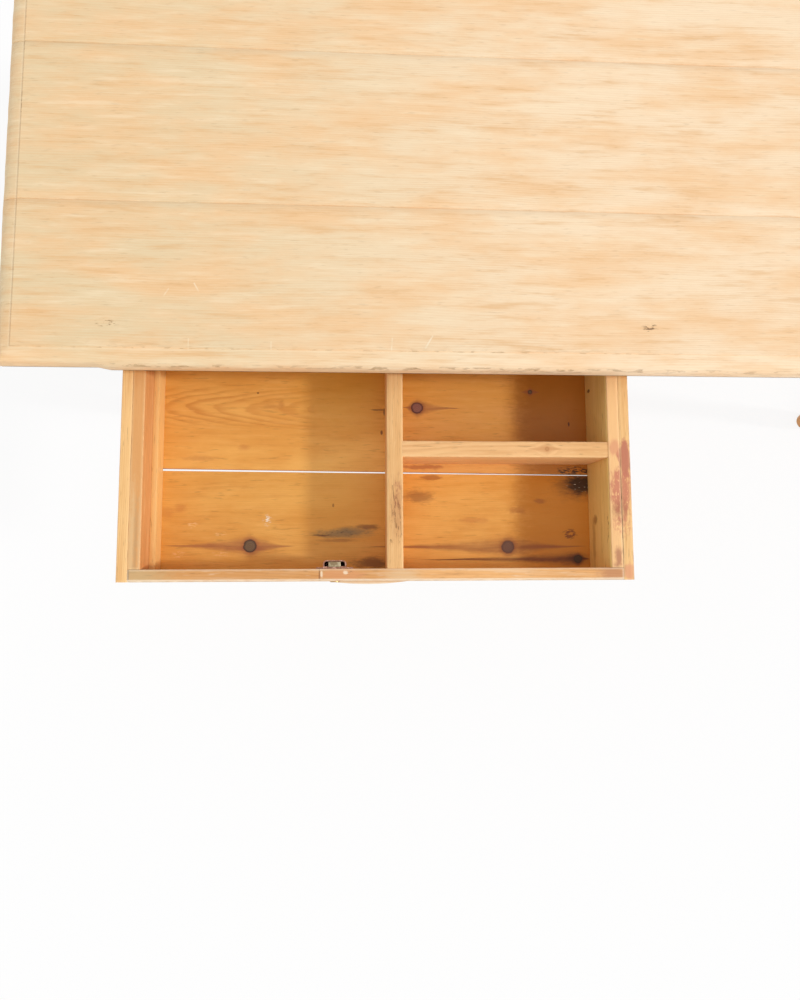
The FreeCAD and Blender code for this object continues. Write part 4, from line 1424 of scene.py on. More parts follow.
FLOOR_MIDDLE = replace(
    FLOOR, name="drawer_floor_middle", taper=0.105, ring=0.0036, lines=0.6, wander=0.010, ripples=1.7,
    aside=-0.091, reach=0.165, breadth=0.024, clear=0.042, shift=tint(231, 163, 84),
    span=(-0.335, -0.285),
    knots=(
        Knot(
            (-0.2816, -0.4119, None), 0.0082, 0.020, 0.060, 1.3, tint(62, 28, 26), tint(150, 98, 84),
            tint(150, 82, 50),
        ),
        Knot((-0.1306, -0.3890, None), 0.0032, 0.013, 0.013),
    ),
    painted_shade=(
        # Painted shadow: the right wall's shadow darkening the right compartment's floor.
        flat_stain(-0.0400, -0.4000, 0.113, 0.200, tint(170, 98, 14), 0.85, 0.12, 0.22),
        # Painted shade: a warmer, darker tint where the divider's shadow falls on the left compartment's
        # floor.
        flat_stain(-0.3650, -0.3700, 0.062, 0.060, tint(212, 148, 46), 0.6, 0.2, 0.9),
    ),
    stains=(
        flat_stain(-0.4890, -0.3940, 0.0015, 0.0012, tint(110, 62, 30), 0.8, 0.5),
        flat_stain(-0.2750, -0.4900, 0.024, 0.003, RUST, 0.6, 0.8, 0.4),
        flat_stain(-0.0720, -0.4950, 0.021, 0.006, BURNT, 0.9, 0.9, 0.4, -0.04),
        flat_stain(-0.0795, -0.4320, 0.0012, 0.0030, tint(60, 34, 20), 0.8, 0.5),
        flat_stain(-0.3320, -0.4150, 0.010, 0.0010, tint(110, 68, 34), 0.7, 0.8),
        flat_stain(-0.3245, -0.4185, 0.0016, 0.0045, tint(110, 68, 34), 0.7, 0.9),
        flat_stain(-0.3285, -0.4450, 0.0016, 0.0030, tint(90, 54, 28), 0.8, 0.9),
        flat_stain(-0.5059, -0.4660, 0.006, 0.0030, tint(198, 122, 58), 0.5, 1.0, 0.8),
        flat_stain(-0.4693, -0.4120, 0.012, 0.0026, tint(196, 126, 58), 0.55, 1.0, 0.8),
        flat_stain(-0.4590, -0.4075, 0.0030, 0.0045, tint(196, 126, 58), 0.5, 1.0, 0.8),
        flat_stain(-0.5600, -0.4800, 0.018, 0.0026, tint(190, 120, 60), 0.45, 1.0, 0.8),
    ),
)
PATCHED_FRONT = replace(
    FRONT, name="patched_front_pine", shift=tint(246, 187, 122), span=(-0.36, -0.26),
    stains=(
        Stain((-0.3785, -0.6290, RIM), (0.027, 0.006, 0.006), tint(224, 156, 108), 0.6, 0.4, 0.2),
        Stain((-0.4045, -0.6290, RIM), (0.0010, 0.008, 0.006), tint(120, 72, 40), 0.6, 0.4, 0.3),
        Stain((-0.4020, -0.6280, RIM), (0.0018, 0.005, 0.006), tint(250, 228, 196), 0.8, 0.9, 0.4, -0.1),
        Stain((-0.3735, -0.6265, RIM), (0.0026, 0.002, 0.006), tint(250, 228, 196), 0.8, 0.9, 0.4),
        Stain((-0.3680, -0.6270, RIM), (0.0040, 0.002, 0.006), tint(140, 92, 56), 0.6, 0.9, 0.4, 0.0),
        Stain((-0.0480, -0.6300, RIM), (0.0180, 0.010, 0.006), tint(188, 128, 92), 0.7, 0.7, 0.6),
        Stain((-0.6150, -0.6300, RIM), (0.0300, 0.012, 0.006), tint(206, 178, 130), 0.65, 0.8, 0.8),
        Stain((-0.3050, -0.6300, RIM), (0.0160, 0.009, 0.006), tint(232, 196, 150), 0.6, 0.8, 0.7),
        Stain((-0.6275, -0.6290, RIM), (0.0010, 0.008, 0.006), tint(120, 80, 46), 0.6, 0.5, 0.4),
    ),
)
CHALKY = tint(255, 240, 212)
SCRUBBED = Pine(
    "top_pine", Grain.X_FLAT, tint(233, 210, 169), tint(226, 176, 118), tint(247, 200, 148),
    worn=tint(255, 236, 202), dirt=tint(146, 106, 54), shift=tint(253, 228, 194), span=(-0.72, 0.0),
    ring=0.0028, taper=0.004, wander=0.03, lines=0.26, streaks=0.5, dash=14.0, patches=0.7, flecks=0.16,
    rubbed=0.28, grime=0.8, rough=0.58, relief=0.4,
    stains=(
        flat_stain(-0.647, -0.342, 0.010, 0.0045, tint(150, 112, 72), 0.75, 0.8, 0.5, 0.02),
        flat_stain(-0.011, -0.338, 0.007, 0.0040, tint(118, 84, 58), 0.85, 0.8, 0.5, -0.02),
    ),
    scratches=(
        Scratch((-0.582, -0.308), (-0.577, -0.300), 0.0016, CHALKY, 0.4),
        Scratch((-0.548, -0.293), (-0.543, -0.302), 0.0018, CHALKY, 0.5),
        Scratch((-0.553, -0.359), (-0.553, -0.372), 0.0016, CHALKY, 0.4),
        Scratch((-0.459, -0.361), (-0.459, -0.370), 0.0016, CHALKY, 0.4),
        Scratch((-0.319, -0.355), (-0.320, -0.369), 0.0018, tint(255, 242, 216), 0.4),
        Scratch((-0.280, -0.366), (-0.272, -0.352), 0.0020, tint(255, 242, 216), 0.55),
    ),
)
IRON = Metal("old_iron", tint(150, 132, 122), tint(122, 82, 64), 0.55, 0.45)
COPPER = Metal("old_copper", tint(228, 186, 166), tint(170, 118, 94), 0.55, 0.5)
STEEL = Metal("bolt_steel", tint(184, 170, 140), tint(146, 124, 90), 0.5, 0.4)
BRASS = Metal("old_brass", tint(206, 170, 110), tint(150, 114, 66), 0.4, 0.35)
PEG = replace(
    HONEY, name="peg_wood", grain=Grain.Y_UPRIGHT, pale=tint(190, 132, 78), deep=tint(132, 80, 40),
    warm=tint(168, 110, 60),
)


@dataclass
class TableTop:
    """The scrubbed top: planks side by side, with a worn thumbnail moulding round the outside.

    Attributes:
        paints: The finishes in use.
        finish: Its wood.
        quirk: Width of the moulding, from the outer edge to its quirk.
        quirk_drop: Depth of the quirk.
        nose_drop: How far the moulding falls to the outer edge.
        under: Rounding of the lower outer edge.
        tongue: Tongue on the front edge of all planks but the first.
        gap: Half the arris between planks.
        steps: Distances from the outer edge at which the moulding is modelled.
        cuts: Distance between the cuts along the planks and across them.
        seam: How far down the arris between planks shows.
        painted_highlight: Distance from the outer edge of the painted highlight line beside the quirk, and
            half its width.
        nick: How far the front edge is worn back at its left end.
        nick_end: Where along the table that stretch ends.
        nick_height: How far in from the front edge it reaches.
        dirt: Half width of the dirt in the quirk.
        nose_dirt: Distance of the nose's dirt from the outer edge, and half its width.
        dents: Depth and size of the dents in the nose, and how sharply they are set off.
        dented: How far the dents reach from the outer edge.
        sound: How much of the planks' foot stays free of dents.
        wear: How strongly the nose is rubbed, and how far in.
        aside: How far in front of its plank the heart of a log may run.
        below: How far below its plank the heart may run.
        end: How far from the middle of the table the heart may come nearest.
    """

    paints: Paints
    finish: Pine = SCRUBBED
    quirk: float = 0.020
    quirk_drop: float = 0.0012
    nose_drop: float = 0.012
    under: float = 0.003
    tongue: float = 0.008
    gap: float = 0.0007
    steps: tuple[float, ...] = (
        0.0, 0.0005, 0.0012, 0.0022, 0.0038, 0.006, 0.009, 0.0125, 0.0165, 0.0190, 0.0197, 0.0201, 0.0207,
    )
    cuts: tuple[float, float] = (0.006, 0.012)
    seam: float = 0.013
    painted_highlight: tuple[float, float] = (0.0190, 0.0005)
    nick: float = 0.003
    nick_end: float = -0.662
    nick_height: float = 0.003
    dirt: float = 0.0010
    nose_dirt: tuple[float, float] = (0.0012, 0.0026)
    dents: Triple = (0.0014, 0.008, 2.6)
    dented: float = 0.007
    sound: float = 0.004
    wear: tuple[float, float] = (0.3, 0.012)
    aside: tuple[float, float] = (-0.35, -0.15)
    below: tuple[float, float] = (0.02, 0.06)
    end: float = 0.5

    def drop(self, inset: float) -> float:
        """How far the moulding lies below the top.

        Args:
            inset: Distance from the outer edge.

        Returns:
            The drop.
        """
        if inset > self.steps[-1] - NEAR:
            return 0.0
        share = 1.0 - min(inset / self.quirk, 1.0)
        fall = 1.0 - math.sqrt(max(1.0 - share * share, 0.0))
        return self.quirk_drop + (self.nose_drop - self.quirk_drop) * fall

    def build(self) -> None:
        """Builds the planks."""
        low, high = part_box("top_plank_1")
        self.left, self.right, self.front = low.x, high.x, low.y
        self.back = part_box("top_plank_4")[1].y
        for number in (1, 2, 3, 4):
            self.plank(number)

    def inset(self, point: Vector) -> float:
        """A point's distance from the top's outer edge."""
        return min(point.x - self.left, self.right - point.x, point.y - self.front, self.back - point.y)

    def use(self, point: Vector) -> float:
        """How hard the edge near a point has been used, most of all along the front."""
        return 1.0 if point.y < self.front + self.quirk else 0.4

    def grime(self, point: Vector, top: float) -> float:
        """How much dirt has stayed at a point, in the quirk or along the nose.

        Args:
            point: The point.
            top: Height of the top.

        Returns:
            The share, 0 to 1.
        """
        inset = self.inset(point)
        quirk = 1.0 - easing(abs(inset - self.quirk) / self.dirt)
        middle, half = self.nose_dirt
        nose = self.use(point) * easing(1.0 - abs(inset - middle) / half)
        return max(quirk, nose) * (point.z - top + self.nose_drop > -0.001)

    def rubbed(self, point: Vector) -> float:
        """How far a point is rubbed pale on the nose, with a painted highlight line beside the quirk.

        Args:
            point: The point.

        Returns:
            The share, up to 1.
        """
        inset = self.inset(point)
        share, reach = self.wear
        middle, half = self.painted_highlight
        return max(share * easing(1.2 - inset / reach), 1.0 - abs(inset - middle) / half)

    def plank(self, number: int) -> None:
        """Models and dresses one plank.

        Args:
            number: Its number, from the front.
        """
        node = f"top_plank_{number}"
        low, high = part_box(node)
        low = low + Vector((0.0, self.tongue if number > 1 else 0.0, 0.0))
        piece = Workpiece.block(f"{node}.wood", low, high)
        inner = self.steps[1:]
        piece.slice(0, [self.left + step for step in inner] + [self.right - step for step in inner])
        if number == 1:
            piece.slice(1, [self.front + step for step in inner])
        if number == 4:
            piece.slice(1, [self.back - step for step in inner])
        piece.divide(0, self.cuts[0]).divide(1, self.cuts[1])
        for step in self.steps[:-1]:
            piece.nudge(
                lambda point, step=step: point.z > high.z - NEAR and abs(self.inset(point) - step) < NEAR,
                (0.0, 0.0, -self.drop(step)),
            )
        piece.ease(
            lambda start, end: max(start.z, end.z) < low.z + NEAR
            and max(self.inset(start), self.inset(end)) < NEAR, self.under, 3,
        )
        seams = [edge for edge, meets in ((low.y, number > 1), (high.y, number < 4)) if meets]
        piece.ease(
            lambda start, end: min(start.z, end.z) > high.z - self.seam
            and any(abs(start.y - seam) < NEAR and abs(end.y - seam) < NEAR for seam in seams)
            and abs(start.x - end.x) > 1e-4,
            self.gap, 1,
        )
        if number == 1:
            piece.nudge(
                lambda point: point.x < self.nick_end and point.y < self.front + self.nick_height,
                (0.0, self.nick, 0.0),
            )
        piece.clean()
        rubbed = [self.rubbed(point) for point in piece.points]
        piece.mark("grime", [self.grime(point, high.z) for point in piece.points])
        piece.dent(
            lambda point: easing(1.0 - self.inset(point) / self.dented) * (point.z > low.z + self.sound)
            * self.use(point), *self.dents,
        )
        # The wear mark carries the rubbed nose and the painted highlight line beside the quirk.
        piece.mark("wear", rubbed)
        luck = random.Random(node)
        across, through = low.y + luck.uniform(*self.aside), low.z - luck.uniform(*self.below)
        heart = across, through, luck.uniform(-self.end, self.end)
        piece.root_in(heart).smooth(50.0).fit(self.paints.of(self.finish), "table", "top_pine", node)


@dataclass
class TableFrame:
    """What carries the top: legs, aprons, rails, upright, runners, guides and kickers.

    Attributes:
        paints: The finishes in use.
        nodes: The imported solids.
        apron: Tenon of the aprons.
        rail: Tenon of the lower front rail.
        dovetail: Dovetail of the upper front rail.
        stub: Tenon of the upright between the drawers.
        bearer: Tenon of the runners and kickers.
        play: Room round a tenon in its mortise.
        throw: How far a lock's bolt rises.
        room: Room round a bolt in its socket.
    """

    paints: Paints
    nodes: dict[str, bpy.types.Object]
    apron: Tenon = Tenon(0.040, 0.100, 0.010)
    rail: Tenon = Tenon(0.036, 0.040, 0.012)
    dovetail: Tenon = Tenon(0.030, 0.026, 0.0196, 0.005)
    stub: Tenon = Tenon(0.010, 0.012, 0.032)
    bearer: Tenon = Tenon(0.010, 0.024, 0.010)
    play: float = 0.00015
    throw: float = 0.008
    room: float = 0.001

    def build(self) -> None:
        """Builds the boards and dresses the turned and small parts."""
        upright = replace(HONEY, name="frame_pine_y", grain=Grain.Y_UPRIGHT)
        flat = replace(HONEY, name="rail_pine_x", grain=Grain.X_FLAT)
        post = replace(HONEY, name="leg_pine_z", grain=Grain.Z_UPRIGHT)
        woods = {
            "apron_left": (upright, self.apron), "apron_right": (upright, self.apron),
            "apron_back": (HONEY, self.apron), "front_top_rail": (flat, self.dovetail),
            "front_bottom_rail": (flat, self.rail), "front_muntin": (post, self.stub),
        }
        boards = [
            Board(node, "table", "frame_pine", finish, self.paints, arris=0.0015, tenon=tenon)
            for node, (finish, tenon) in woods.items()
        ]
        for place in ("left", "centre", "right"):
            for use, tenon in (("runner", self.bearer), ("kicker", self.bearer), ("guide", None)):
                boards.append(Board(
                    f"{use}_{place}", "table", "inner_pine", INNER, self.paints, step=0.012, tenon=tenon,
                ))
        boxes = [box for board in boards for box in board.tenons(self.play)] + self.sockets()
        for board in boards:
            board.mortises = tuple(box for box in boxes if board.takes(box))
            board.build()
        finishes = {f"leg_{end}_{side}": post for end in ("front", "back") for side in ("left", "right")}
        finishes |= {"joint_pegs": PEG, "drawer_stops": INNER, "top_screws": IRON}
        for node, finish in finishes.items():
            self.paints.dress(self.nodes[node], finish)

    def sockets(self) -> list[Box]:
        """The boxes of the sockets that the bolts rise into when the drawers are shut.

        Returns:
            The lowest and highest corner of each.
        """
        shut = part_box("right_drawer_front")[0].y
        found = []
        for side in ("left", "right"):
            low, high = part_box(f"{side}_drawer_lock_bolt")
            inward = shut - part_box(f"{side}_drawer_front")[0].y
            found.append((
                Vector((low.x - self.room, low.y - self.room + inward, high.z)),
                Vector((high.x + self.room, high.y + self.room + inward, high.z + self.throw + self.room)),
            ))
        return found


@dataclass
class DrawerFront(Board):
    """The front of a drawer, with a rubbed outer arris, a finger scoop and a keyhole.

    Attributes:
        rub: Width of the rubbed arris along its outer top edge.
        scoop: Middle of the scoop, from the middle of the front's foot.
        scoop_half: Half its length.
        scoop_radius: Radius of its hollow.
        scoop_depth: Its depth.
        keyhole: Middle of the keyhole's barrel, from the middle of the front's foot.
        barrel: Radius of the barrel.
        bit: Width of the slot below it.
        bit_drop: How far that slot goes down.
        spare: How much longer than the front is thick the keyhole's tools are.
    """

    rub: float = 0.0028
    scoop: tuple[float, float] = (-0.014, 0.02825)
    scoop_half: float = 0.040
    scoop_radius: float = 0.022
    scoop_depth: float = 0.009
    keyhole: tuple[float, float] = (-0.0547, 0.066)
    barrel: float = 0.0024
    bit: float = 0.0022
    bit_drop: float = 0.006
    spare: float = 0.004

    def nearness(self, point: Vector) -> float:
        """How near a point lies to an arris, the rubbed one counting at its own width; the pale rubbed outer
        arris is partly wear and partly painted highlight, and the inner top arris is a painted highlight.

        Args:
            point: The point.

        Returns:
            The nearness, 0 to 1.
        """
        rubbed = math.hypot(point.y - self.low.y, self.high.z - point.z) / self.rub
        inner = math.hypot(self.high.y - point.y, self.high.z - point.z) / self.arris
        # Outer rubbed arris: partly wear, partly painted highlight; inner top arris: painted highlight.
        return max(super().nearness(point) * 0.5, easing(1.9 - 1.4 * rubbed), 0.35 * easing(1.6 - inner))

    def shape(self) -> Workpiece:
        """Models the front: board, rubbed arris, scoop, keyhole.

        Returns:
            The piece, not yet dressed.
        """
        low, high = self.low, self.high
        self.rubs = ((
            lambda start, end: max(start.y, end.y) < low.y + NEAR and min(start.z, end.z) > high.z - NEAR,
            self.rub,
        ),)
        piece = super().shape().slice(1, (low.y + 1.6 * self.rub,)).slice(2, (high.z - 1.6 * self.rub,))
        quarter = math.pi / 2
        x, z = (low.x + high.x) / 2 + self.scoop[0], low.z + self.scoop[1]
        axis = (x, low.y + self.scoop_depth - self.scoop_radius, z)
        piece.cut(Workpiece.rod("scoop", axis, self.scoop_radius, 2 * self.scoop_half, (0, quarter, 0), 64))
        x, z = (low.x + high.x) / 2 + self.keyhole[0], low.z + self.keyhole[1]
        middle, reach = (low.y + high.y) / 2, high.y - low.y + self.spare
        piece.cut(Workpiece.rod("barrel", (x, middle, z), self.barrel, reach, (quarter, 0, 0), 20))
        return piece.cut(Workpiece.block(
            "bit", (x - self.bit / 2, middle - reach / 2, z - self.bit_drop),
            (x + self.bit / 2, middle + reach / 2, z),
        ))


@dataclass
class FingerPull:
    """The low bowed lip over the scoop.

    Attributes:
        side: left or right.
        paints: The finishes in use.
        finish: Its wood.
        bow: How far its middle stands out.
        edge: Rounding of its lip.
        step: Distance between the cuts along it.
        away: How far below it and behind it the heart of the log runs.
    """

    side: str
    paints: Paints
    finish: Pine = PULL
    bow: float = 0.004
    edge: float = 0.0025
    step: float = 0.0035
    away: float = 0.05

    def build(self) -> None:
        """Models the lip from a block that is bowed column by column, and dresses it."""
        node = f"{self.side}_drawer_pull"
        low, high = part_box(node)
        face = low.y + self.bow
        piece = Workpiece.block(f"{node}.wood", (low.x, face, low.z), high).divide(0, self.step)
        for place in sorted({round(point.x, 4) for point in piece.points}):
            share = 2 * (place - low.x) / (high.x - low.x) - 1
            piece.nudge(
                lambda point, place=place: abs(point.x - place) < 2e-4 and point.y < face + NEAR,
                (0.0, -self.bow * (1 - share * share), 0.0),
            )
        piece.ease(
            lambda start, end: max(start.y, end.y) < face + NEAR and abs(start.z - end.z) < NEAR
            and abs(start.x - end.x) > NEAR, self.edge, 3,
        )
        piece.mark("wear", [easing((face - point.y) / self.bow) for point in piece.points])
        piece.root_in((low.z - self.away, high.y + self.away, 0.0)).smooth(50.0)
        piece.fit(self.paints.of(self.finish), f"{self.side}_drawer", "drawer_pine", node)


@dataclass
class Lock:
    """The lock behind a drawer front: a plate, an open-topped case and the bolt that rises from it.

    Attributes:
        side: left or right.
        paints: The finishes in use.
        plate: Thickness of the plate.
        wall: Thickness of the case's wall.
        case_half: Half the width of the case.
        case_drop: How far the case's rim lies below the plate's top.
        case_height: Height of the case.
        sunk: How far the case goes into the plate.
        corner: Rounding of the case's outer corners.
        plate_edge: Rounding of the plate's edges.
        bolt_top: Rounding of the bolt's top edges.
        bolt_edge: Rounding of its upright edges.
    """

    side: str
    paints: Paints
    plate: float = 0.0018
    wall: float = 0.0014
    case_half: float = 0.0138
    case_drop: float = 0.0014
    case_height: float = 0.031
    sunk: float = 0.0003
    corner: float = 0.0042
    plate_edge: float = 0.0004
    bolt_top: float = 0.0012
    bolt_edge: float = 0.0005

    def build(self) -> None:
        """Builds the case with its plate, and the bolt."""
        self.case()
        self.bolt()

    def case(self) -> None:
        """Models the plate and the hollow case on it as one piece."""
        node = f"{self.side}_drawer_lock_case"
        low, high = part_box(node)
        plate = Workpiece.block(f"{node}.metal", low, (high.x, low.y + self.plate, high.z))
        plate.ease(lambda start, end: True, self.plate_edge)
        middle, rim = (low.x + high.x) / 2, high.z - self.case_drop
        case = Workpiece.block(
            "case", (middle - self.case_half, low.y + self.plate - self.sunk, rim - self.case_height),
            (middle + self.case_half, high.y, rim),
        )
        case.ease(
            lambda start, end: min(start.y, end.y) > high.y - NEAR and abs(start.z - end.z) > NEAR,
            self.corner, 4,
        )
        case.hollow(
            lambda centre, normal: normal.z > 0.9 and centre.z > rim - NEAR, self.wall,
            (0.0, 0.0, self.wall - self.case_height),
        )
        plate.join(case).smooth(35.0).fit(self.paints.of(COPPER), f"{self.side}_drawer", "brass", node)

    def bolt(self) -> None:
        """Models the bolt, its top edges rubbed round."""
        node = f"{self.side}_drawer_lock_bolt"
        low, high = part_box(node)
        piece = Workpiece.block(f"{node}.metal", low, high)
        piece.ease(lambda start, end: min(start.z, end.z) > high.z - NEAR, self.bolt_top, 3)
        piece.ease(lambda start, end: abs(start.z - end.z) > 0.01, self.bolt_edge)
        piece.smooth(35.0).fit(self.paints.of(STEEL), f"{self.side}_lock_bolt", "steel", node)


@dataclass
class DrawerBox:
    """A drawer: front, doubled sides, back, bottom boards, and the dividers where it has them.

    Attributes:
        side: left or right.
        paints: The finishes in use.
        nodes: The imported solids.
        skew: How far the gap between the bottom boards runs out of square.
        flare: How much wider that gap is at its left end, and narrower at its right.
        taper: How much thinner the strips along the right lining are at their head.
        front_heart: How far before the first bottom board and below its face the heart of its log runs.
        middle_heart: How far behind the gap and below its face the heart of the second board's log runs, and
            how far left of the drawer's middle it comes nearest.
        side_arris: How far the arrises of the sides and strips are eased.
        side_knocks: Depth of the dents along the sides.
        side_rub: How far the sides' outer top edges are eased.
        slip_arris: How far the slip's arrises are eased.
        floor_arris: How far the bottom boards' arrises are eased.
        floor_knocks: Depth of the dents along the bottom boards.
        floor_worn: How far the wear reaches on the bottom boards.
        front_arris: How far the front's arrises are eased.
        front_knocks: Depth of the dents along the front.
    """

    side: str
    paints: Paints
    nodes: dict[str, bpy.types.Object]
    skew: float = 0.006
    flare: float = 0.0009
    taper: float = 0.0060
    front_heart: tuple[float, float] = (0.09, 0.03)
    middle_heart: Triple = (0.087, 0.012, 0.046)
    side_arris: float = 0.0003
    side_knocks: float = 0.0003
    side_rub: float = 0.0012
    slip_arris: float = 0.0004
    floor_arris: float = 0.0005
    floor_knocks: float = 0.0002
    floor_worn: float = 0.0015
    front_arris: float = 0.0008
    front_knocks: float = 0.0004

    @property
    def body(self) -> str:
        """The body that the drawer moves with."""
        return f"{self.side}_drawer"

    def board(self, part: str, finish: Pine, **sizes: object) -> Board:
        """One board of the drawer.

        Args:
            part: The board's name in the drawer.
            finish: Its wood.
            sizes: Other fields of the board.

        Returns:
            The board, not yet built.
        """
        slot = "floor_pine" if part.startswith("bottom") else "drawer_pine"
        return Board(f"{self.body}_{part}", self.body, slot, finish, self.paints, **sizes)

    def build(self) -> None:
        """Builds the drawer's boards, pull and lock, and dresses its small metalwork."""
        self.sides()
        self.floor()
        self.front()
        FingerPull(self.side, self.paints).build()
        Lock(self.side, self.paints).build()
        for part, finish in (("nails", IRON), ("escutcheon", BRASS), ("lock_screws", IRON)):
            self.paints.dress(self.nodes[f"{self.body}_{part}"], finish)

    def sides(self) -> None:
        """Builds the sides, linings and back, and what divides the left drawer."""
        marked = self.side == "left"
        woods = {
            "outer_side_left": DRAWER, "lining_left": LINING,
            "outer_side_right": STAINED_SIDE if marked else DRAWER,
            "lining_right": STAINED_LINING if marked else LINING,
        }
        for part, finish in woods.items():
            low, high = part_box(f"{self.body}_{part}")
            edge = high.x if part in ("lining_left", "outer_side_right") else low.x
            rubbed = (
                lambda start, end, edge=edge, top=high.z: min(start.z, end.z) > top - NEAR
                and abs(start.x - edge) < NEAR and abs(end.x - edge) < NEAR, self.side_rub,
            )
            self.board(part, finish, arris=self.side_arris, knocks=self.side_knocks, rubs=(rubbed,)).build()
        self.board("back", replace(DRAWER, name="drawer_back_pine", grain=Grain.X_UPRIGHT)).build()
        if marked:
            self.dividers()

    def dividers(self) -> None:
        """Builds the slip, the long divider, the cross divider and the tapered strips."""
        self.board("slip_left", SLIP, arris=self.slip_arris, knocks=0.0).build()
        self.board("divider", DIVIDER).build()
        self.board("cross_divider", CROSS).build()
        self.strips()

    def strips(self) -> None:
        """Builds the tapered strips along the right lining, in front of the cross divider and behind it,
        their wood darkened towards the foot as painted shade.
        """
        foot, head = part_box(f"{self.body}_slip_right")
        near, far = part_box(f"{self.body}_cross_divider")
        # Painted shade: darker colour towards the strips' foot, where the wall meets the drawer floor.
        shade = Stain((None, None, foot.z), (1, 1, 0.026), tint(222, 176, 98), 0.6, 0.1, 0.8)
        shaded = replace(STRIP, stains=(shade, *STRIP.stains))
        made = []
        for start, end in ((foot.y, near.y), (far.y, head.y)):
            board = self.board(
                "slip_right", shaded, arris=self.side_arris, knocks=0.0, slants=((
                    lambda point: point.x < foot.x + NEAR and point.z > head.z - NEAR, (self.taper, 0.0, 0.0),
                ),),
            )
            board.low, board.high = Vector((foot.x, start, foot.z)), Vector((head.x, end, head.z))
            made.append(board.shape())
        board.dress(made[0].join(made[1]))

    def floor(self) -> None:
        """Builds the bottom boards, with the open gap between the first two running out of square."""
        low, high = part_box(f"{self.body}_bottom_front")
        middle, edge = (low.x + high.x) / 2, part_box(f"{self.body}_bottom_middle")[0].y
        front, centre = (FLOOR_FRONT, FLOOR_MIDDLE) if self.side == "left" else (FLOOR, FLOOR)
        thin = {"arris": self.floor_arris, "knocks": self.floor_knocks, "worn": self.floor_worn}
        near, far = self.skew - self.flare, self.skew + self.flare
        before, below = self.front_heart
        behind, under, aside = self.middle_heart
        self.board(
            "bottom_front", front, heart=(low.y - before, high.z - below, 0.0),
            slants=((lambda point: point.x > middle and point.y > high.y - NEAR, (0.0, -near, 0.0)),), **thin,
        ).build()
        self.board(
            "bottom_middle", centre, heart=(edge + behind, high.z - under, middle - aside),
            slants=((lambda point: point.x < middle and point.y < edge + NEAR, (0.0, far, 0.0)),), **thin,
        ).build()
        self.board("bottom_rear", FLOOR, **thin).build()

    def front(self) -> None:
        """Builds the front."""
        DrawerFront(
            f"{self.body}_front", self.body, "drawer_pine", PATCHED_FRONT if self.side == "left" else FRONT,
            self.paints, arris=self.front_arris, knocks=self.front_knocks,
        ).build()


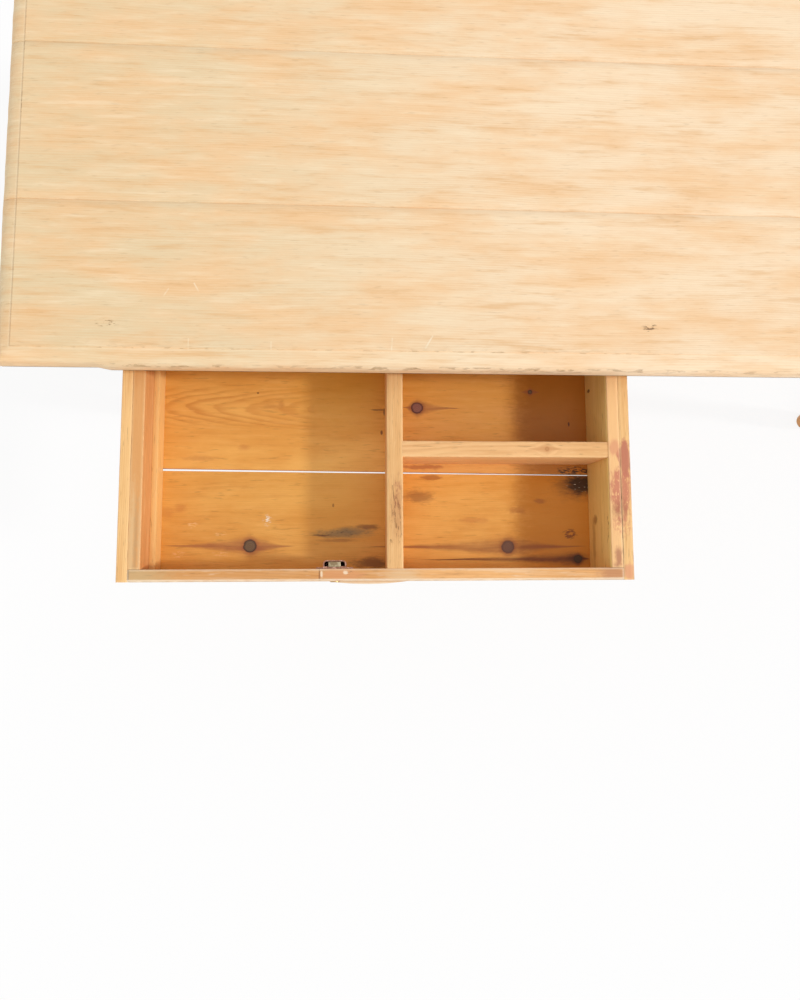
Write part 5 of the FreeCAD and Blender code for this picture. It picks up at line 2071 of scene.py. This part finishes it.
@dataclass
class Studio:
    """Plain soft light, a pale floor and the camera.

    Attributes:
        eye: Where the camera stands.
        tilt: How it is turned from looking straight down, in degrees.
        lens: Focal length in millimetres.
        sun: Strength of the key light.
        height: Elevation of the key light in degrees.
        swing: How far the key light stands to the front of the table's right end, in degrees.
        spread: How wide the key light is, in degrees.
        fill: Strength of the soft light from the front.
        fill_spread: How wide that light is, in degrees.
        fill_lean: How far from straight above it stands, in degrees.
        sky: Strength of the light from all round.
        show: Share of the floor that stays white whatever falls on it.
        grey: How pale the floor is.
        ground: Length of the floor's sides.
    """

    eye: Triple = (-0.3568, -0.6229, 1.5719)
    tilt: Triple = (5.59, -3.26, 0.06)
    lens: float = 25.488
    sun: float = 1.45
    height: float = 30.5
    swing: float = 6.0
    spread: float = 5.0
    fill: float = 0.45
    fill_spread: float = 60.0
    fill_lean: float = 50.0
    sky: float = 0.70
    show: float = 0.86
    grey: float = 0.92
    ground: float = 30.0

    def build(self) -> None:
        """Sets up camera, lights and floor."""
        scene = bpy.context.scene
        scene.view_settings.view_transform = "Standard"
        camera = bpy.data.cameras.new("camera")
        camera.lens, camera.sensor_width, camera.clip_start, camera.clip_end = self.lens, 36.0, 0.01, 100.0
        stand = bpy.data.objects.new("camera", camera)
        stand.rotation_mode = "ZYX"
        stand.location, stand.rotation_euler = self.eye, tuple(math.radians(angle) for angle in self.tilt)
        scene.collection.objects.link(stand)
        scene.camera = stand
        self.lamp("key", self.sun, self.spread, (0.0, 90.0 - self.height, -self.swing))
        self.lamp("fill", self.fill, self.fill_spread, (self.fill_lean, 0.0, 0.0))
        self.world()
        self.floor()

    @staticmethod
    def lamp(name: str, strength: float, spread: float, turn: Triple) -> None:
        """Hangs a lamp.

        Args:
            name: Its name.
            strength: Its strength.
            spread: How wide it is, in degrees.
            turn: How it is turned from shining straight down, in degrees.
        """
        light = bpy.data.lights.new(name, "SUN")
        light.energy, light.angle = strength, math.radians(spread)
        lamp = bpy.data.objects.new(name, light)
        lamp.rotation_euler = tuple(math.radians(angle) for angle in turn)
        bpy.context.scene.collection.objects.link(lamp)

    @staticmethod
    def seen(nodes: bpy.types.Nodes, links: bpy.types.NodeLinks) -> bpy.types.NodeSocket:
        """1 for rays from the camera, in mirrors and through glass.

        Args:
            nodes: Nodes of a tree.
            links: Links of that tree.

        Returns:
            The socket.
        """
        path = nodes.new("ShaderNodeLightPath")
        socket = path.outputs["Is Camera Ray"]
        for other in ("Is Glossy Ray", "Is Transmission Ray"):
            either = nodes.new("ShaderNodeMath")
            either.operation = "MAXIMUM"
            links.new(socket, either.inputs[0])
            links.new(path.outputs[other], either.inputs[1])
            socket = either.outputs[0]
        return socket

    def world(self) -> None:
        """Soft light from all round, white where it is seen."""
        world = bpy.data.worlds.new("studio")
        bpy.context.scene.world = world
        world.use_nodes = True
        nodes, links = world.node_tree.nodes, world.node_tree.links
        nodes.clear()
        level = nodes.new("ShaderNodeMapRange")
        links.new(self.seen(nodes, links), level.inputs["Value"])
        level.inputs["To Min"].default_value, level.inputs["To Max"].default_value = self.sky, 1.0
        light, output = nodes.new("ShaderNodeBackground"), nodes.new("ShaderNodeOutputWorld")
        light.inputs["Color"].default_value = (1.0, 1.0, 1.0, 1.0)
        links.new(level.outputs[0], light.inputs["Strength"])
        links.new(light.outputs[0], output.inputs["Surface"])

    def floor(self) -> None:
        """A pale floor that keeps the table's shadow."""
        Workpiece.clear_bench()
        bpy.ops.mesh.primitive_plane_add(size=self.ground, location=(0.0, 0.0, 0.0))
        plane = bpy.context.active_object
        plane.name = "floor"
        graph = Graph("pale_floor")
        nodes, links = graph.tree.nodes, graph.tree.links
        share = nodes.new("ShaderNodeMath")
        share.operation = "MULTIPLY"
        links.new(self.seen(nodes, links), share.inputs[0])
        share.inputs[1].default_value = self.show
        matt = graph.node("ShaderNodeBsdfDiffuse", sockets={"Color": (self.grey, self.grey, self.grey)})
        bright = graph.node("ShaderNodeEmission", sockets={"Color": (1.0, 1.0, 1.0), "Strength": 1.0})
        cover = Value(graph, share.outputs[0])
        both = graph.node("ShaderNodeMixShader", sockets={0: cover, 1: matt, 2: bright})
        links.new(both.socket, graph.output.inputs["Surface"])
        plane.data.materials.append(graph.material)


def main() -> None:
    """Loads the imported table, builds what dresses it, and sets up the studio."""
    logging.basicConfig(level=logging.INFO, format="%(message)s")
    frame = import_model()
    paints = Paints()
    TableTop(paints).build()
    TableFrame(paints, frame["nodes"]).build()
    for side in ("left", "right"):
        DrawerBox(side, paints, frame["nodes"]).build()
    Studio().build()


if __name__ == "__main__":
    main()
